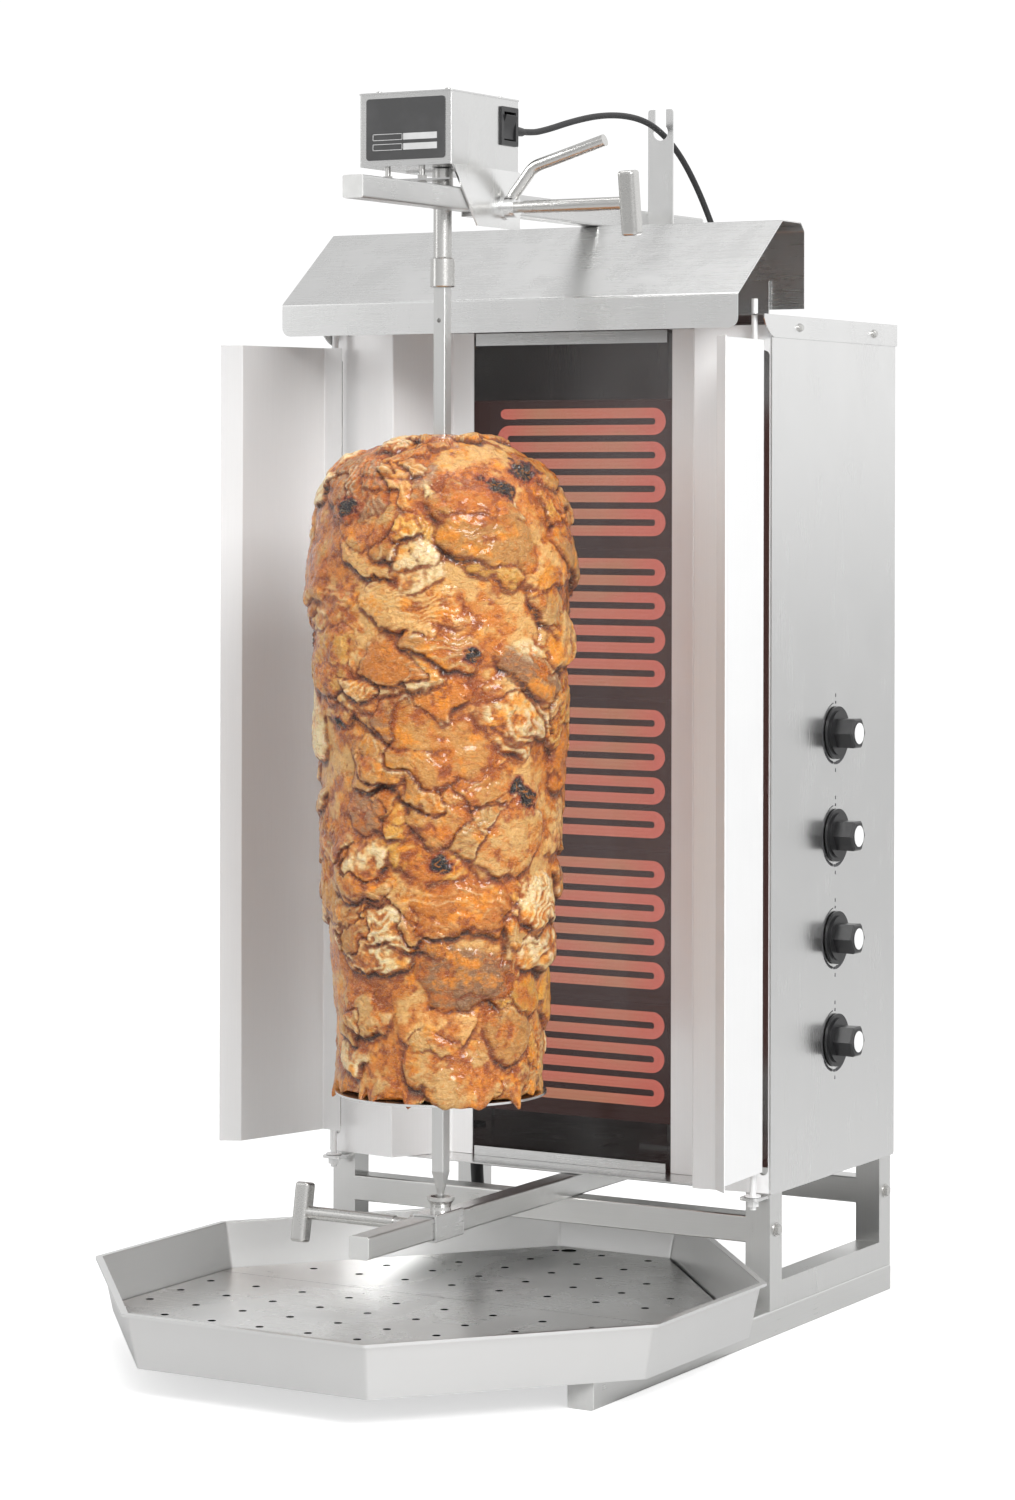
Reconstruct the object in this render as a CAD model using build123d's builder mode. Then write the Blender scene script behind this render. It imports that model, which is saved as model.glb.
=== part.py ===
from build123d import *
import math
import os

# Vertical rotisserie broiler for sliced meat: an open tube frame carries a shallow radiant cabinet,
# and a driven spit stands in front of it between two arms. Millimetres, +Z up, -Y is the front.

os.makedirs("parts", exist_ok=True)

# ---- driving dimensions ----
mid_x = 6.0                 # middle plane of the cabinet
front_y = 115.9             # front plane of the cabinet
cabinet_w = 480.0
cabinet_d = 270.0
cabinet_low = 132.0         # underside of the cabinet
cabinet_top = 941.0         # top face of the lid
sheet = 1.2                 # outer sheet metal
tube = 25.0                 # frame tube, square
tube_wall = 1.5
arm = 20.0                  # arm tube, square
spit_x = mid_x + 20.0       # spit axis
spit_y = front_y - 221.0
upper_arm_x = mid_x + 42.0
upper_arm_low = 1028.5
lower_arm_low = 111.0
gap = 0.3                   # clearance of sliding and turning neighbours
motor_low = 1068.0          # underside of the motor box
motor_high = motor_low + 66.0
meat_low = 242.0
meat_high = 828.0
shield_pin_x = 228.0        # hinge pins of the side shields, each side of the middle
shield_pin_y = front_y - 12.0
cord_d = 6.0                # motor lead
mains_d = 13.0              # mains lead

half_w = cabinet_w / 2
rear_y = front_y + cabinet_d
sides = (-1, 1)


def block(x0, x1, y0, y1, z0, z1, mode=Mode.ADD):
    """A box between two corners, in the part that is being built."""
    with Locations(((x0 + x1) / 2, (y0 + y1) / 2, (z0 + z1) / 2)):
        Box(x1 - x0, y1 - y0, z1 - z0, mode=mode)


def square_tube(plane, length, side, wall, corner=2.0):
    """A square tube that runs from the plane along its normal."""
    with BuildSketch(plane) as section:
        RectangleRounded(side, side, corner)
        RectangleRounded(side - 2 * wall, side - 2 * wall, corner / 2, mode=Mode.SUBTRACT)
    extrude(section.sketch, amount=length)


def bent_sheet(plane, points, thickness, length, bend=2.0):
    """A folded sheet: an open outline with rounded bends, thickened to one side and extruded."""
    with BuildSketch(plane) as section:
        with BuildLine():
            FilletPolyline(*points, radius=bend)
            offset(amount=thickness, side=Side.LEFT)
        make_face()
    extrude(section.sketch, amount=length)


def rod(start, direction, radius, length, mode=Mode.ADD):
    """A round bar from a point along a direction."""
    with BuildSketch(Plane(origin=start, z_dir=direction)) as section:
        Circle(radius)
    extrude(section.sketch, amount=length, mode=mode)


def save(builder, name):
    """Labels a finished piece and writes it to its own STEP file."""
    builder.part.label = name
    export_step(builder.part, f"parts/{name}.step")


# ---- base frame ----
skid_front = front_y - 330.0
frame_rear = front_y + 266.0
post_front = front_y + 3.0
rail_x = half_w - 2.0 - tube / 2

with BuildPart() as skids:
    for side in sides:
        start = (mid_x + side * rail_x, skid_front, tube / 2)
        square_tube(Plane(origin=start, x_dir=(1, 0, 0), z_dir=(0, 1, 0)), frame_rear - skid_front,
                    tube, tube_wall)
save(skids, "skids")

frame_low = tube
frame_high = cabinet_low + tube
frame_mid_y = (post_front + frame_rear) / 2
frame_len = frame_rear - post_front
frame_mid_z = (frame_low + frame_high) / 2
frame_tall = frame_high - frame_low
with BuildPart() as side_frames:
    for side in sides:
        with BuildSketch(Plane.YZ.offset(mid_x + side * rail_x)):
            with Locations((frame_mid_y, frame_mid_z)):
                Rectangle(frame_len, frame_tall)
                Rectangle(frame_len - 2 * tube, frame_tall - 2 * tube, mode=Mode.SUBTRACT)
        extrude(amount=tube / 2, both=True)
        with BuildSketch(Plane.YZ.offset(mid_x + side * rail_x)):
            with Locations((frame_mid_y, frame_mid_z)):
                Rectangle(frame_len - 2 * tube_wall, frame_tall - 2 * tube_wall)
                inner = 2 * (tube - tube_wall)
                Rectangle(frame_len - inner, frame_tall - inner, mode=Mode.SUBTRACT)
        extrude(amount=tube / 2 - tube_wall, both=True, mode=Mode.SUBTRACT)
save(side_frames, "side_frames")

crossbar_low = 86.0
crossbar_z = crossbar_low + tube / 2
crossbar_len = 2 * (rail_x - tube / 2)
crossbar_ys = (post_front + tube / 2, frame_rear - tube / 2)
with BuildPart() as crossbars:
    for y in crossbar_ys:
        start = (mid_x - crossbar_len / 2, y, crossbar_z)
        square_tube(Plane(origin=start, x_dir=(0, 1, 0), z_dir=(1, 0, 0)), crossbar_len, tube, tube_wall)
save(crossbars, "crossbars")

bolt_head_r = 5.0
with BuildPart() as frame_bolts:
    for side in sides:
        for y in crossbar_ys:
            face_x = mid_x + side * (rail_x + tube / 2)
            rod((face_x, y, crossbar_z), (side, 0, 0), bolt_head_r + 1.5, 1.0)
            with BuildSketch(Plane(origin=(face_x + side, y, crossbar_z), z_dir=(side, 0, 0))):
                RegularPolygon(bolt_head_r, 6)
            extrude(amount=3.2)
save(frame_bolts, "frame_bolts")

# ---- arms that carry the spit ----
lower_arm_front = front_y - 357.0
lower_arm_z = lower_arm_low + arm / 2
with BuildPart() as lower_arm:
    start = (spit_x, lower_arm_front, lower_arm_z)
    square_tube(Plane(origin=start, x_dir=(1, 0, 0), z_dir=(0, 1, 0)), frame_rear - lower_arm_front,
                arm, tube_wall)
save(lower_arm, "lower_arm")

upper_arm_front = front_y - 405.0
upper_arm_rear = front_y + 224.0
upper_arm_z = upper_arm_low + arm / 2
with BuildPart() as upper_arm:
    start = (upper_arm_x, upper_arm_front, upper_arm_z)
    square_tube(Plane(origin=start, x_dir=(1, 0, 0), z_dir=(0, 1, 0)), upper_arm_rear - upper_arm_front,
                arm, tube_wall)
save(upper_arm, "upper_arm")

cap_lip = 1.8
with BuildPart() as tube_end_caps:
    capped = [((spit_x, lower_arm_front, lower_arm_z), -1, arm),
              ((upper_arm_x, upper_arm_front, upper_arm_z), -1, arm),
              ((upper_arm_x, upper_arm_rear, upper_arm_z), 1, arm)]
    for side in sides:
        capped.append(((mid_x + side * rail_x, skid_front, tube / 2), -1, tube))
        capped.append(((mid_x + side * rail_x, frame_rear, tube / 2), 1, tube))
    for start, way, size in capped:
        face = Plane(origin=start, x_dir=(1, 0, 0), z_dir=(0, way, 0))
        with BuildSketch(face):
            RectangleRounded(size, size, 2.0)
        extrude(amount=cap_lip)
        with BuildSketch(face):
            plug_side = size - 2 * tube_wall - 0.4
            RectangleRounded(plug_side, plug_side, 0.8)
        extrude(amount=-12.0)
save(tube_end_caps, "tube_end_caps")

mast_y = front_y + 205.0
with BuildPart() as rear_mast:
    start = (upper_arm_x, mast_y, cabinet_low + sheet)
    square_tube(Plane(origin=start, z_dir=(0, 0, 1)), upper_arm_low - 2.0 - cabinet_low - sheet, tube,
                tube_wall)
    block(upper_arm_x - tube / 2, upper_arm_x + tube / 2, mast_y - tube / 2, mast_y + tube / 2,
          upper_arm_low - 2.0, upper_arm_low)
    block(upper_arm_x - 32, upper_arm_x + 32, mast_y - 32, mast_y + 32, cabinet_low + sheet,
          cabinet_low + sheet + 3.0)
save(rear_mast, "rear_mast")

# ---- cabinet shell ----
panel_in = half_w - sheet
lid_flange = 21.0
panel_top = cabinet_top - sheet
mast_hole = tube + 1.0
pocket_z0 = 150.0
pocket_z1 = 908.0

with BuildPart() as bottom_panel:
    inner_x = rail_x - tube / 2
    block(mid_x - inner_x, mid_x + inner_x, front_y + 12.0, rear_y - sheet, cabinet_low, cabinet_low + sheet)
    mains_x = mid_x - 197.0
    mains_y = front_y + 208.0
    rod((mains_x, mains_y, cabinet_low - 1), (0, 0, 1), 10.0, 6.0, mode=Mode.SUBTRACT)
save(bottom_panel, "bottom_panel")

knob_zs = [550.0 - 97.0 * i for i in range(4)]
knob_y = front_y + 136.5
bush_r = 5.0
for side, name in ((-1, "left_side_panel"), (1, "right_side_panel")):
    with BuildPart() as side_panel:
        outer = mid_x + side * half_w
        inner = mid_x + side * panel_in
        block(min(outer, inner), max(outer, inner), front_y, rear_y, cabinet_low, panel_top)
        fillet(side_panel.edges().filter_by(Axis.X).group_by(Axis.Z)[0], 3.0)
        if side > 0:
            for z in knob_zs:
                rod((inner - 1, knob_y, z), (1, 0, 0), bush_r + 0.2, 4.0, mode=Mode.SUBTRACT)
    save(side_panel, name)

with BuildPart() as back_panel:
    block(mid_x - panel_in, mid_x + panel_in, rear_y - sheet, rear_y, cabinet_low, panel_top)
    with Locations(*[Plane(origin=(mid_x + x, rear_y, z), z_dir=(0, 1, 0)) for x in (-120, 120)
                     for z in [760.0 + 14.0 * i for i in range(8)]]):
        with BuildSketch():
            SlotOverall(120.0, 5.0)
        extrude(amount=-2 * sheet, mode=Mode.SUBTRACT)
save(back_panel, "back_panel")

tab_w = 52.0
tab_reach = 19.0
lead_x = mid_x + 82.0       # where the motor lead enters the lid
lead_y = front_y + 226.0
with BuildPart() as top_lid:
    lid_half = half_w + sheet + 0.2
    block(mid_x - lid_half, mid_x + lid_half, front_y, rear_y + sheet + 0.2, panel_top, cabinet_top)
    for side in sides:
        edge_x = mid_x + side * lid_half
        inner = edge_x - side * sheet
        tab_x = edge_x - side * tab_w
        block(min(tab_x, edge_x), max(tab_x, edge_x), front_y - tab_reach, front_y, panel_top, cabinet_top)
        with BuildSketch(Plane.YZ.offset(inner)):
            with BuildLine():
                drop = cabinet_top - lid_flange
                Line((front_y - tab_reach, cabinet_top), (rear_y + sheet + 0.2, cabinet_top))
                Line((rear_y + sheet + 0.2, cabinet_top), (rear_y + sheet + 0.2, drop))
                Line((rear_y + sheet + 0.2, drop), (front_y + 2.0, drop))
                ThreePointArc((front_y + 2.0, drop), (front_y - 11.0, drop + 7.0),
                              (front_y - tab_reach, cabinet_top - 4.0))
                Line((front_y - tab_reach, cabinet_top - 4.0), (front_y - tab_reach, cabinet_top))
            make_face()
        extrude(amount=side * sheet)
    block(mid_x - lid_half, mid_x + lid_half, rear_y + 0.2, rear_y + sheet + 0.2, drop, cabinet_top)
    for side in sides:
        rod((mid_x + side * shield_pin_x, shield_pin_y, panel_top - 1), (0, 0, 1), 3.4, 4.0,
            mode=Mode.SUBTRACT)
    block(upper_arm_x - mast_hole / 2, upper_arm_x + mast_hole / 2, mast_y - mast_hole / 2,
          mast_y + mast_hole / 2, panel_top - 1, cabinet_top + 1, mode=Mode.SUBTRACT)
    rod((lead_x, lead_y, panel_top - 1), (0, 0, 1), 7.0, 4.0, mode=Mode.SUBTRACT)
save(top_lid, "top_lid")

with BuildPart() as lid_screws:
    for side in sides:
        for y in (front_y + 55.0, front_y + 217.5):
            face_x = mid_x + side * (half_w + sheet + 0.2)
            rod((face_x, y, 930.5), (side, 0, 0), 4.2, 0.8)
            with BuildSketch(Plane(origin=(face_x + side * 0.8, y, 930.5), z_dir=(side, 0, 0))):
                Circle(3.4)
            extrude(amount=2.2, taper=18)
save(lid_screws, "lid_screws")

# ---- radiant front: reflectors, glass, heating elements ----
glass_y = front_y + 53.2
glass_half = 121.0
strip_in = 109.0            # inner edges of the reflectors, the glass shows between them
for side, name in ((-1, "left_reflector"), (1, "right_reflector")):
    with BuildPart() as reflector:
        outline = [(mid_x + side * 238.5, front_y + 1.0), (mid_x + side * 164.0, front_y - 9.0),
                   (mid_x + side * 132.0, front_y + 52.0), (mid_x + side * strip_in, front_y + 52.0)]
        if side > 0:
            outline.reverse()
        bent_sheet(Plane.XY.offset(cabinet_low + sheet + gap), outline, 1.0, 798.0, bend=1.5)
        slot_x = mid_x + side * 232.0
        with BuildSketch(Plane.XZ.offset(-(front_y - 20.0))):
            with Locations((slot_x, (pocket_z0 + pocket_z1) / 2)):
                SlotOverall(pocket_z1 - pocket_z0, 10.0, rotation=90)
        extrude(amount=-40.0, mode=Mode.SUBTRACT)
    save(reflector, name)

with BuildPart() as glass_ledge:
    for z0, z1, lip in ((cabinet_low + sheet + 0.2, cabinet_low + 4.2, 9.0), (928.0, 930.8, -9.0)):
        block(mid_x - 105.0, mid_x + 105.0, front_y + 49.0, front_y + 60.0, z0, z1)
        low, high = min(z0, z0 + lip), max(z0, z0 + lip)
        block(mid_x - 105.0, mid_x + 105.0, front_y + 49.0, front_y + 50.2, low, high)
save(glass_ledge, "glass_ledge")

with BuildPart() as glass_pane:
    block(mid_x - glass_half, mid_x + glass_half, glass_y, glass_y + 4.0, cabinet_low + 4.4, 927.8)
    fillet(glass_pane.edges().filter_by(Axis.Y), 4.0)
save(glass_pane, "glass_pane")

group_pitch = 144.0
bar_pitch = 16.1
element_r = 4.9
first_bar_z = 853.0
bar_counts = (8, 8, 8, 8, 6)
element_y = front_y + 70.0
pan_back = front_y + 104.0
turn_x = 87.0

with BuildPart() as heater_pans:
    for group, bars in enumerate(bar_counts):
        top = first_bar_z + 13.0 - group * group_pitch
        low = top - (group_pitch - 0.8) if bars == 8 else top - 112.0
        block(mid_x - 116, mid_x + 116, glass_y + 6.0, pan_back, low, top)
        block(mid_x - 115, mid_x + 115, glass_y + 5.0, pan_back - 12.0, low + 1.0, top - 1.0,
              mode=Mode.SUBTRACT)
        for z in (first_bar_z - group * group_pitch, first_bar_z - group * group_pitch - (bars - 1) * bar_pitch):
            rod((mid_x - turn_x, pan_back - 20.0, z), (0, 1, 0), element_r + 0.3, 30.0, mode=Mode.SUBTRACT)
save(heater_pans, "heater_pans")

with BuildPart() as heating_elements:
    for group, bars in enumerate(bar_counts):
        z = first_bar_z - group * group_pitch
        corners = [(mid_x - turn_x, pan_back + 6.0, z)]
        for bar in range(bars):
            ends = [(mid_x - turn_x, element_y, z), (mid_x + turn_x, element_y, z)]
            if bar % 2:
                ends.reverse()
            corners += ends
            z -= bar_pitch
        corners.append((mid_x - turn_x, pan_back + 6.0, z + bar_pitch))
        with BuildLine() as element_path:
            FilletPolyline(*corners, radius=bar_pitch / 2 - 0.05)
        with BuildSketch(Plane(origin=corners[0], z_dir=(0, -1, 0))):
            Circle(element_r)
        sweep(path=element_path.line)
save(heating_elements, "heating_elements")

# ---- controls on the right side panel ----
regulator_in = mid_x + 196.0
bush_in = mid_x + 224.0
bush_out = mid_x + half_w + 0.5
shaft_r = 3.0
with BuildPart() as regulators:
    for z in knob_zs:
        block(regulator_in, bush_in, knob_y - 23.0, knob_y + 23.0, z - 23.0, z + 23.0)
        rod((bush_in, knob_y, z), (1, 0, 0), bush_r, bush_out - bush_in)
        rod((bush_out + 1, knob_y, z), (-1, 0, 0), shaft_r + 0.05, 18.0, mode=Mode.SUBTRACT)
save(regulators, "regulators")

skirt_r = 25.0
knob_base = bush_out + 0.5
for number, z in enumerate(knob_zs, start=1):
    with BuildPart() as knob:
        rod((knob_base, knob_y, z), (1, 0, 0), skirt_r, 2.2)
        rod((knob_base + 2.2, knob_y, z), (1, 0, 0), skirt_r - 4.0, 2.0)
        with BuildSketch(Plane(origin=(knob_base + 4.2, knob_y, z), x_dir=(0, 1, 0), z_dir=(1, 0, 0))):
            RegularPolygon(15.5, 6)
        extrude(amount=19.0, taper=-1)
        chamfer(knob.faces().sort_by(Axis.X)[-1].edges(), 1.5)
        rod((knob_base + 23.2, knob_y, z), (1, 0, 0), 10.0, 0.8)
        rod((knob_base, knob_y, z), (-1, 0, 0), shaft_r, 15.0)
    save(knob, f"knob_{number}")

# ---- hood above the cabinet ----
hood_half = 245.0
hood_front = front_y - 79.0
with BuildPart() as hood:
    profile = [(hood_front, 926.0), (hood_front, 956.0), (front_y + 11.0, 1027.0), (front_y + 49.0, 1027.0),
               (front_y + 56.0, 1020.0), (front_y + 56.0, 948.0)]
    bent_sheet(Plane.YZ.offset(mid_x - hood_half), profile, -1.2, 2 * hood_half, bend=2.0)
    corner_edges = hood.edges().filter_by(Axis.Y).group_by(Axis.Z)[0]
    fillet(corner_edges, 9.0)
save(hood, "hood")

with BuildPart() as hood_brackets:
    for side in sides:
        x = mid_x + side * 190.0
        back = front_y + 54.8
        block(x - 20, x + 20, back - 2.0, back, cabinet_top, 975.0)
        block(x - 20, x + 20, back - 30.0, back, cabinet_top, cabinet_top + 2.0)
save(hood_brackets, "hood_brackets")

# ---- notched guide that holds up the motor lead ----
fork_x0 = upper_arm_x + arm / 2
fork_w = 27.0
fork_y = front_y + 109.0
fork_top = 1146.0
notch_x = fork_x0 + fork_w / 2
notch_z = fork_top - 30.0
with BuildPart() as cable_fork:
    block(fork_x0, fork_x0 + fork_w, fork_y, fork_y + 2.0, upper_arm_low + 0.5, fork_top)
    fillet(cable_fork.edges().filter_by(Axis.Y).group_by(Axis.Z)[-1], 3.0)
    rod((notch_x, fork_y - 1, notch_z + 8.0), (0, 1, 0), 8.0, 4.0, mode=Mode.SUBTRACT)
    block(notch_x - 6, notch_x + 6, fork_y - 1, fork_y + 3, notch_z + 8, fork_top + 1, mode=Mode.SUBTRACT)
    block(fork_x0, fork_x0 + 2.0, fork_y, fork_y + 26.0, upper_arm_low + 0.5, upper_arm_low + 19.5)
    rod((fork_x0 + 2.0, fork_y + 15.0, upper_arm_z), (1, 0, 0), 4.0, 2.5)
save(cable_fork, "cable_fork")

# ---- motor carriage on the upper arm ----
box_x0 = mid_x - 43.0
box_x1 = mid_x + 53.0
box_y0 = front_y - 261.0
box_y1 = front_y - 142.0
rocker_y = box_y1 - 19.0
rocker_z = motor_low + 40.5
with BuildPart() as motor_box:
    block(box_x0, box_x1, box_y0, box_y1, motor_low, motor_high - 1.4)
    fillet(motor_box.edges().filter_by(Axis.Z), 1.5)
    block(box_x0 + sheet, box_x1 - sheet, box_y0 + sheet, box_y1 - sheet, motor_low + sheet, motor_high,
          mode=Mode.SUBTRACT)
    rod((spit_x, spit_y, motor_low - 1), (0, 0, 1), 8.0, 4.0, mode=Mode.SUBTRACT)
    block(box_x1 - 3, box_x1 + 1, rocker_y - 12.5, rocker_y + 12.5, rocker_z - 15, rocker_z + 15,
          mode=Mode.SUBTRACT)
    motor_exit = (mid_x + 43.5, box_y1, motor_low + 39.0)
    rod((motor_exit[0], box_y1 - 3, motor_exit[2]), (0, 1, 0), 6.0, 6.0, mode=Mode.SUBTRACT)
save(motor_box, "motor_box")

with BuildPart() as motor_box_lid:
    block(box_x0 - 0.6, box_x1 + 0.6, box_y0 - 0.6, box_y1 + 0.6, motor_high - 1.4, motor_high)
    fillet(motor_box_lid.edges().filter_by(Axis.Z), 1.5)
save(motor_box_lid, "motor_box_lid")

with BuildPart() as motor_lid_screws:
    for x in (box_x0 + 12, box_x1 - 12):
        for y in (box_y0 + 14, box_y1 - 14):
            rod((x, y, motor_high), (0, 0, 1), 3.6, 1.0)
            with BuildSketch(Plane.XY.offset(motor_high + 1.0)):
                with Locations((x, y)):
                    Circle(2.8)
            extrude(amount=1.6, taper=15)
save(motor_lid_screws, "motor_lid_screws")

plate_mid_x = mid_x + 5.5
with BuildPart() as name_plate:
    block(plate_mid_x - 41, plate_mid_x + 41, box_y0 - 0.8, box_y0, motor_low + 5.5, motor_low + 60.5)
    fillet(name_plate.edges().filter_by(Axis.Y), 3.0)
save(name_plate, "name_plate")

hub_top = motor_low - 1.0
with BuildPart() as gear_motor:
    block(mid_x - 20, mid_x + 46, spit_y - 28, spit_y + 30, motor_low + sheet, motor_low + 34)
    block(mid_x - 26, mid_x + 20, spit_y + 30, spit_y + 66, motor_low + 6, motor_low + 52)
    rod((spit_x, spit_y, motor_low + sheet), (0, 0, -1), 6.0, sheet + 0.6)
    rod((spit_x, spit_y, motor_low - 10), (0, 0, 1), 4.05, 30.0, mode=Mode.SUBTRACT)
save(gear_motor, "gear_motor")

deflector_z = motor_low - 14.0
with BuildPart() as deflector_plate:
    with BuildSketch(Plane.XY.offset(deflector_z)):
        with BuildLine():
            Polyline((mid_x - 58, box_y0 + 2), (mid_x - 44, box_y0 - 12), (mid_x + 53, box_y0 - 3),
                     (mid_x + 34, box_y0 + 24), (mid_x - 40, box_y0 + 20), close=True)
        make_face()
    extrude(amount=1.5)
    stud_xs = (mid_x - 18.0, mid_x + 18.0)
    for x in stud_xs:
        rod((x, box_y0 + 8, deflector_z - 1), (0, 0, 1), 2.6, 4.0, mode=Mode.SUBTRACT)
save(deflector_plate, "deflector_plate")

with BuildPart() as deflector_studs:
    for x in stud_xs:
        rod((x, box_y0 + 8, deflector_z - 7), (0, 0, 1), 2.5, motor_low - deflector_z + 7)
        for low, tall in ((deflector_z - 4.0, 4.0), (deflector_z + 1.5, 4.0)):
            with BuildSketch(Plane.XY.offset(low)):
                with Locations((x, box_y0 + 8)):
                    RegularPolygon(4.6, 6)
            extrude(amount=tall)
save(deflector_studs, "deflector_studs")

cheek_x = upper_arm_x + arm / 2 + 0.5
cheek_low = upper_arm_low - 13.0
clamp_y = front_y - 167.0
clamp_z = upper_arm_z - 4.0
with BuildPart() as upper_saddle:
    with BuildSketch(Plane.YZ.offset(cheek_x)):
        with BuildLine():
            Polyline((box_y0 + 1, motor_low), (box_y0 + 44, cheek_low), (box_y1, cheek_low),
                     (box_y1, motor_low), close=True)
        make_face()
    extrude(amount=2.0)
    block(box_x0 + 14, cheek_x + 2, front_y - 204, box_y1, motor_low - 2.0, motor_low)
    web_low = upper_arm_low + arm + gap
    block(upper_arm_x - 12.5, cheek_x + 2, front_y - 204, box_y1, web_low, web_low + 2.0)
    block(upper_arm_x - 12.5, upper_arm_x - 10.5, front_y - 204, box_y1, upper_arm_low - 3.5, web_low + 2)
    block(upper_arm_x - 12.5, upper_arm_x - 2.0, front_y - 204, box_y1, upper_arm_low - 3.5,
          upper_arm_low - gap)
    nut_x = cheek_x + 2.0
    rod((nut_x, clamp_y, clamp_z), (1, 0, 0), 11.0, 2.5)
    rod((nut_x + 2.5, clamp_y, clamp_z), (1, 0, 0), 9.0, 9.0)
    rod((upper_arm_x + arm / 2 + 0.3, clamp_y, clamp_z), (1, 0, 0), 5.1, 20.0, mode=Mode.SUBTRACT)
save(upper_saddle, "upper_saddle")

screw_start = upper_arm_x + arm / 2 + 0.4
with BuildPart() as upper_clamp_screw:
    bar_x = mid_x + 182.0
    rod((screw_start, clamp_y, clamp_z), (1, 0, 0), 5.0, bar_x - screw_start)
    rod((nut_x + 20.0, clamp_y, clamp_z), (1, 0, 0), 6.0, bar_x - nut_x - 20.0)
    tilt = math.radians(8)
    way = (0, -math.sin(tilt), math.cos(tilt))
    with BuildSketch(Plane(origin=(bar_x, clamp_y, clamp_z), x_dir=(1, 0, 0), z_dir=way)):
        RectangleRounded(16.0, 16.0, 4.0)
    extrude(amount=29.0, both=True)
    fillet(upper_clamp_screw.faces().sort_by(Axis.Z)[-1].edges(), 3.0)
    fillet(upper_clamp_screw.faces().sort_by(Axis.Z)[0].edges(), 3.0)
save(upper_clamp_screw, "upper_clamp_screw")

with BuildPart() as carriage_handle:
    with BuildLine() as handle_path:
        FilletPolyline((nut_x + 7.0, clamp_y, clamp_z + 9.0), (nut_x + 9.0, clamp_y, clamp_z + 12.5),
                       (mid_x + 83.0, clamp_y, clamp_z + 36.0),
                       (mid_x + 156.0, clamp_y, clamp_z + 57.0), radius=(2.0, 20.0))
    with BuildSketch(Plane(origin=handle_path.line @ 0, z_dir=handle_path.line % 0)):
        Circle(5.5)
    sweep(path=handle_path.line)
save(carriage_handle, "carriage_handle")

pivot_x = box_x1 - 2.0
pivot_r = 1.5
with BuildPart() as switch_bezel:
    block(box_x1, box_x1 + 2.0, rocker_y - 15.0, rocker_y + 15.0, rocker_z - 17.5, rocker_z + 17.5)
    fillet(switch_bezel.edges().filter_by(Axis.X), 1.5)
    block(box_x1 - 20, box_x1, rocker_y - 12.2, rocker_y + 12.2, rocker_z - 14.7, rocker_z + 14.7)
    block(box_x1 - 12, box_x1 + 3, rocker_y - 10.5, rocker_y + 10.5, rocker_z - 13, rocker_z + 13,
          mode=Mode.SUBTRACT)
    rod((pivot_x, rocker_y - 11.6, rocker_z), (0, 1, 0), pivot_r + 0.2, 23.2, mode=Mode.SUBTRACT)
save(switch_bezel, "switch_bezel")

rocker_tilt = math.radians(11)
with BuildPart() as switch_rocker:
    outward = (math.cos(rocker_tilt), 0, -math.sin(rocker_tilt))
    with BuildSketch(Plane(origin=(pivot_x, rocker_y - 10.0, rocker_z), x_dir=outward, z_dir=(0, 1, 0))):
        with BuildLine():
            Line((-3.0, -8.0), (4.6, -11.7))
            ThreePointArc((4.6, -11.7), (3.0, 0), (4.6, 11.7))
            Polyline((4.6, 11.7), (-3.0, 8.0), (-3.0, -8.0))
        make_face()
    extrude(amount=20.0)
    fillet(switch_rocker.edges().filter_by(Axis.Y), 0.6)
    rod((pivot_x, rocker_y - 11.3, rocker_z), (0, 1, 0), pivot_r, 22.6)
save(switch_rocker, "switch_rocker")

# ---- drive and spit ----
square_side = 12.0
sleeve_top = 987.0
sleeve_low = 961.0
spit_top = 986.0
with BuildPart() as drive_tube:
    rod((spit_x, spit_y, hub_top), (0, 0, -1), 9.5, 24.0)
    rod((spit_x, spit_y, hub_top - 24.0), (0, 0, -1), 8.3, hub_top - 24.0 - sleeve_low - 2.0)
    rod((spit_x, spit_y, hub_top), (0, 0, 1), 4.0, 20.0)
    rod((spit_x, spit_y - 11.5, hub_top - 17.0), (0, 1, 0), 2.0, 23.0)
    block(spit_x - 6.35, spit_x + 6.35, spit_y - 6.35, spit_y + 6.35, sleeve_low, spit_top + 1.5,
          mode=Mode.SUBTRACT)
save(drive_tube, "drive_tube")

with BuildPart() as lock_collar:
    rod((spit_x, spit_y, sleeve_low), (0, 0, 1), 11.0, sleeve_top - sleeve_low)
    chamfer(lock_collar.edges().filter_by(GeomType.CIRCLE), 0.8)
    rod((spit_x, spit_y, sleeve_low - 1), (0, 0, 1), 9.05, sleeve_top - sleeve_low + 2, mode=Mode.SUBTRACT)
save(lock_collar, "lock_collar")

point_z = 141.0
with BuildPart() as spit_bar:
    block(spit_x - 6, spit_x + 6, spit_y - 6, spit_y + 6, 168.0, spit_top)
    chamfer(spit_bar.edges().filter_by(Axis.Z), 0.6)
    with BuildSketch(Plane(origin=(spit_x, spit_y, 168.0), z_dir=(0, 0, -1))):
        Rectangle(square_side, square_side)
    with BuildSketch(Plane(origin=(spit_x, spit_y, 148.0), z_dir=(0, 0, -1))):
        Circle(3.0)
    loft()
    rod((spit_x, spit_y, 148.0), (0, 0, -1), 3.0, 148.0 - point_z)
    rod((spit_x, spit_y - 8, 931.0), (0, 1, 0), 2.0, 16.0, mode=Mode.SUBTRACT)
save(spit_bar, "spit_bar")

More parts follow.
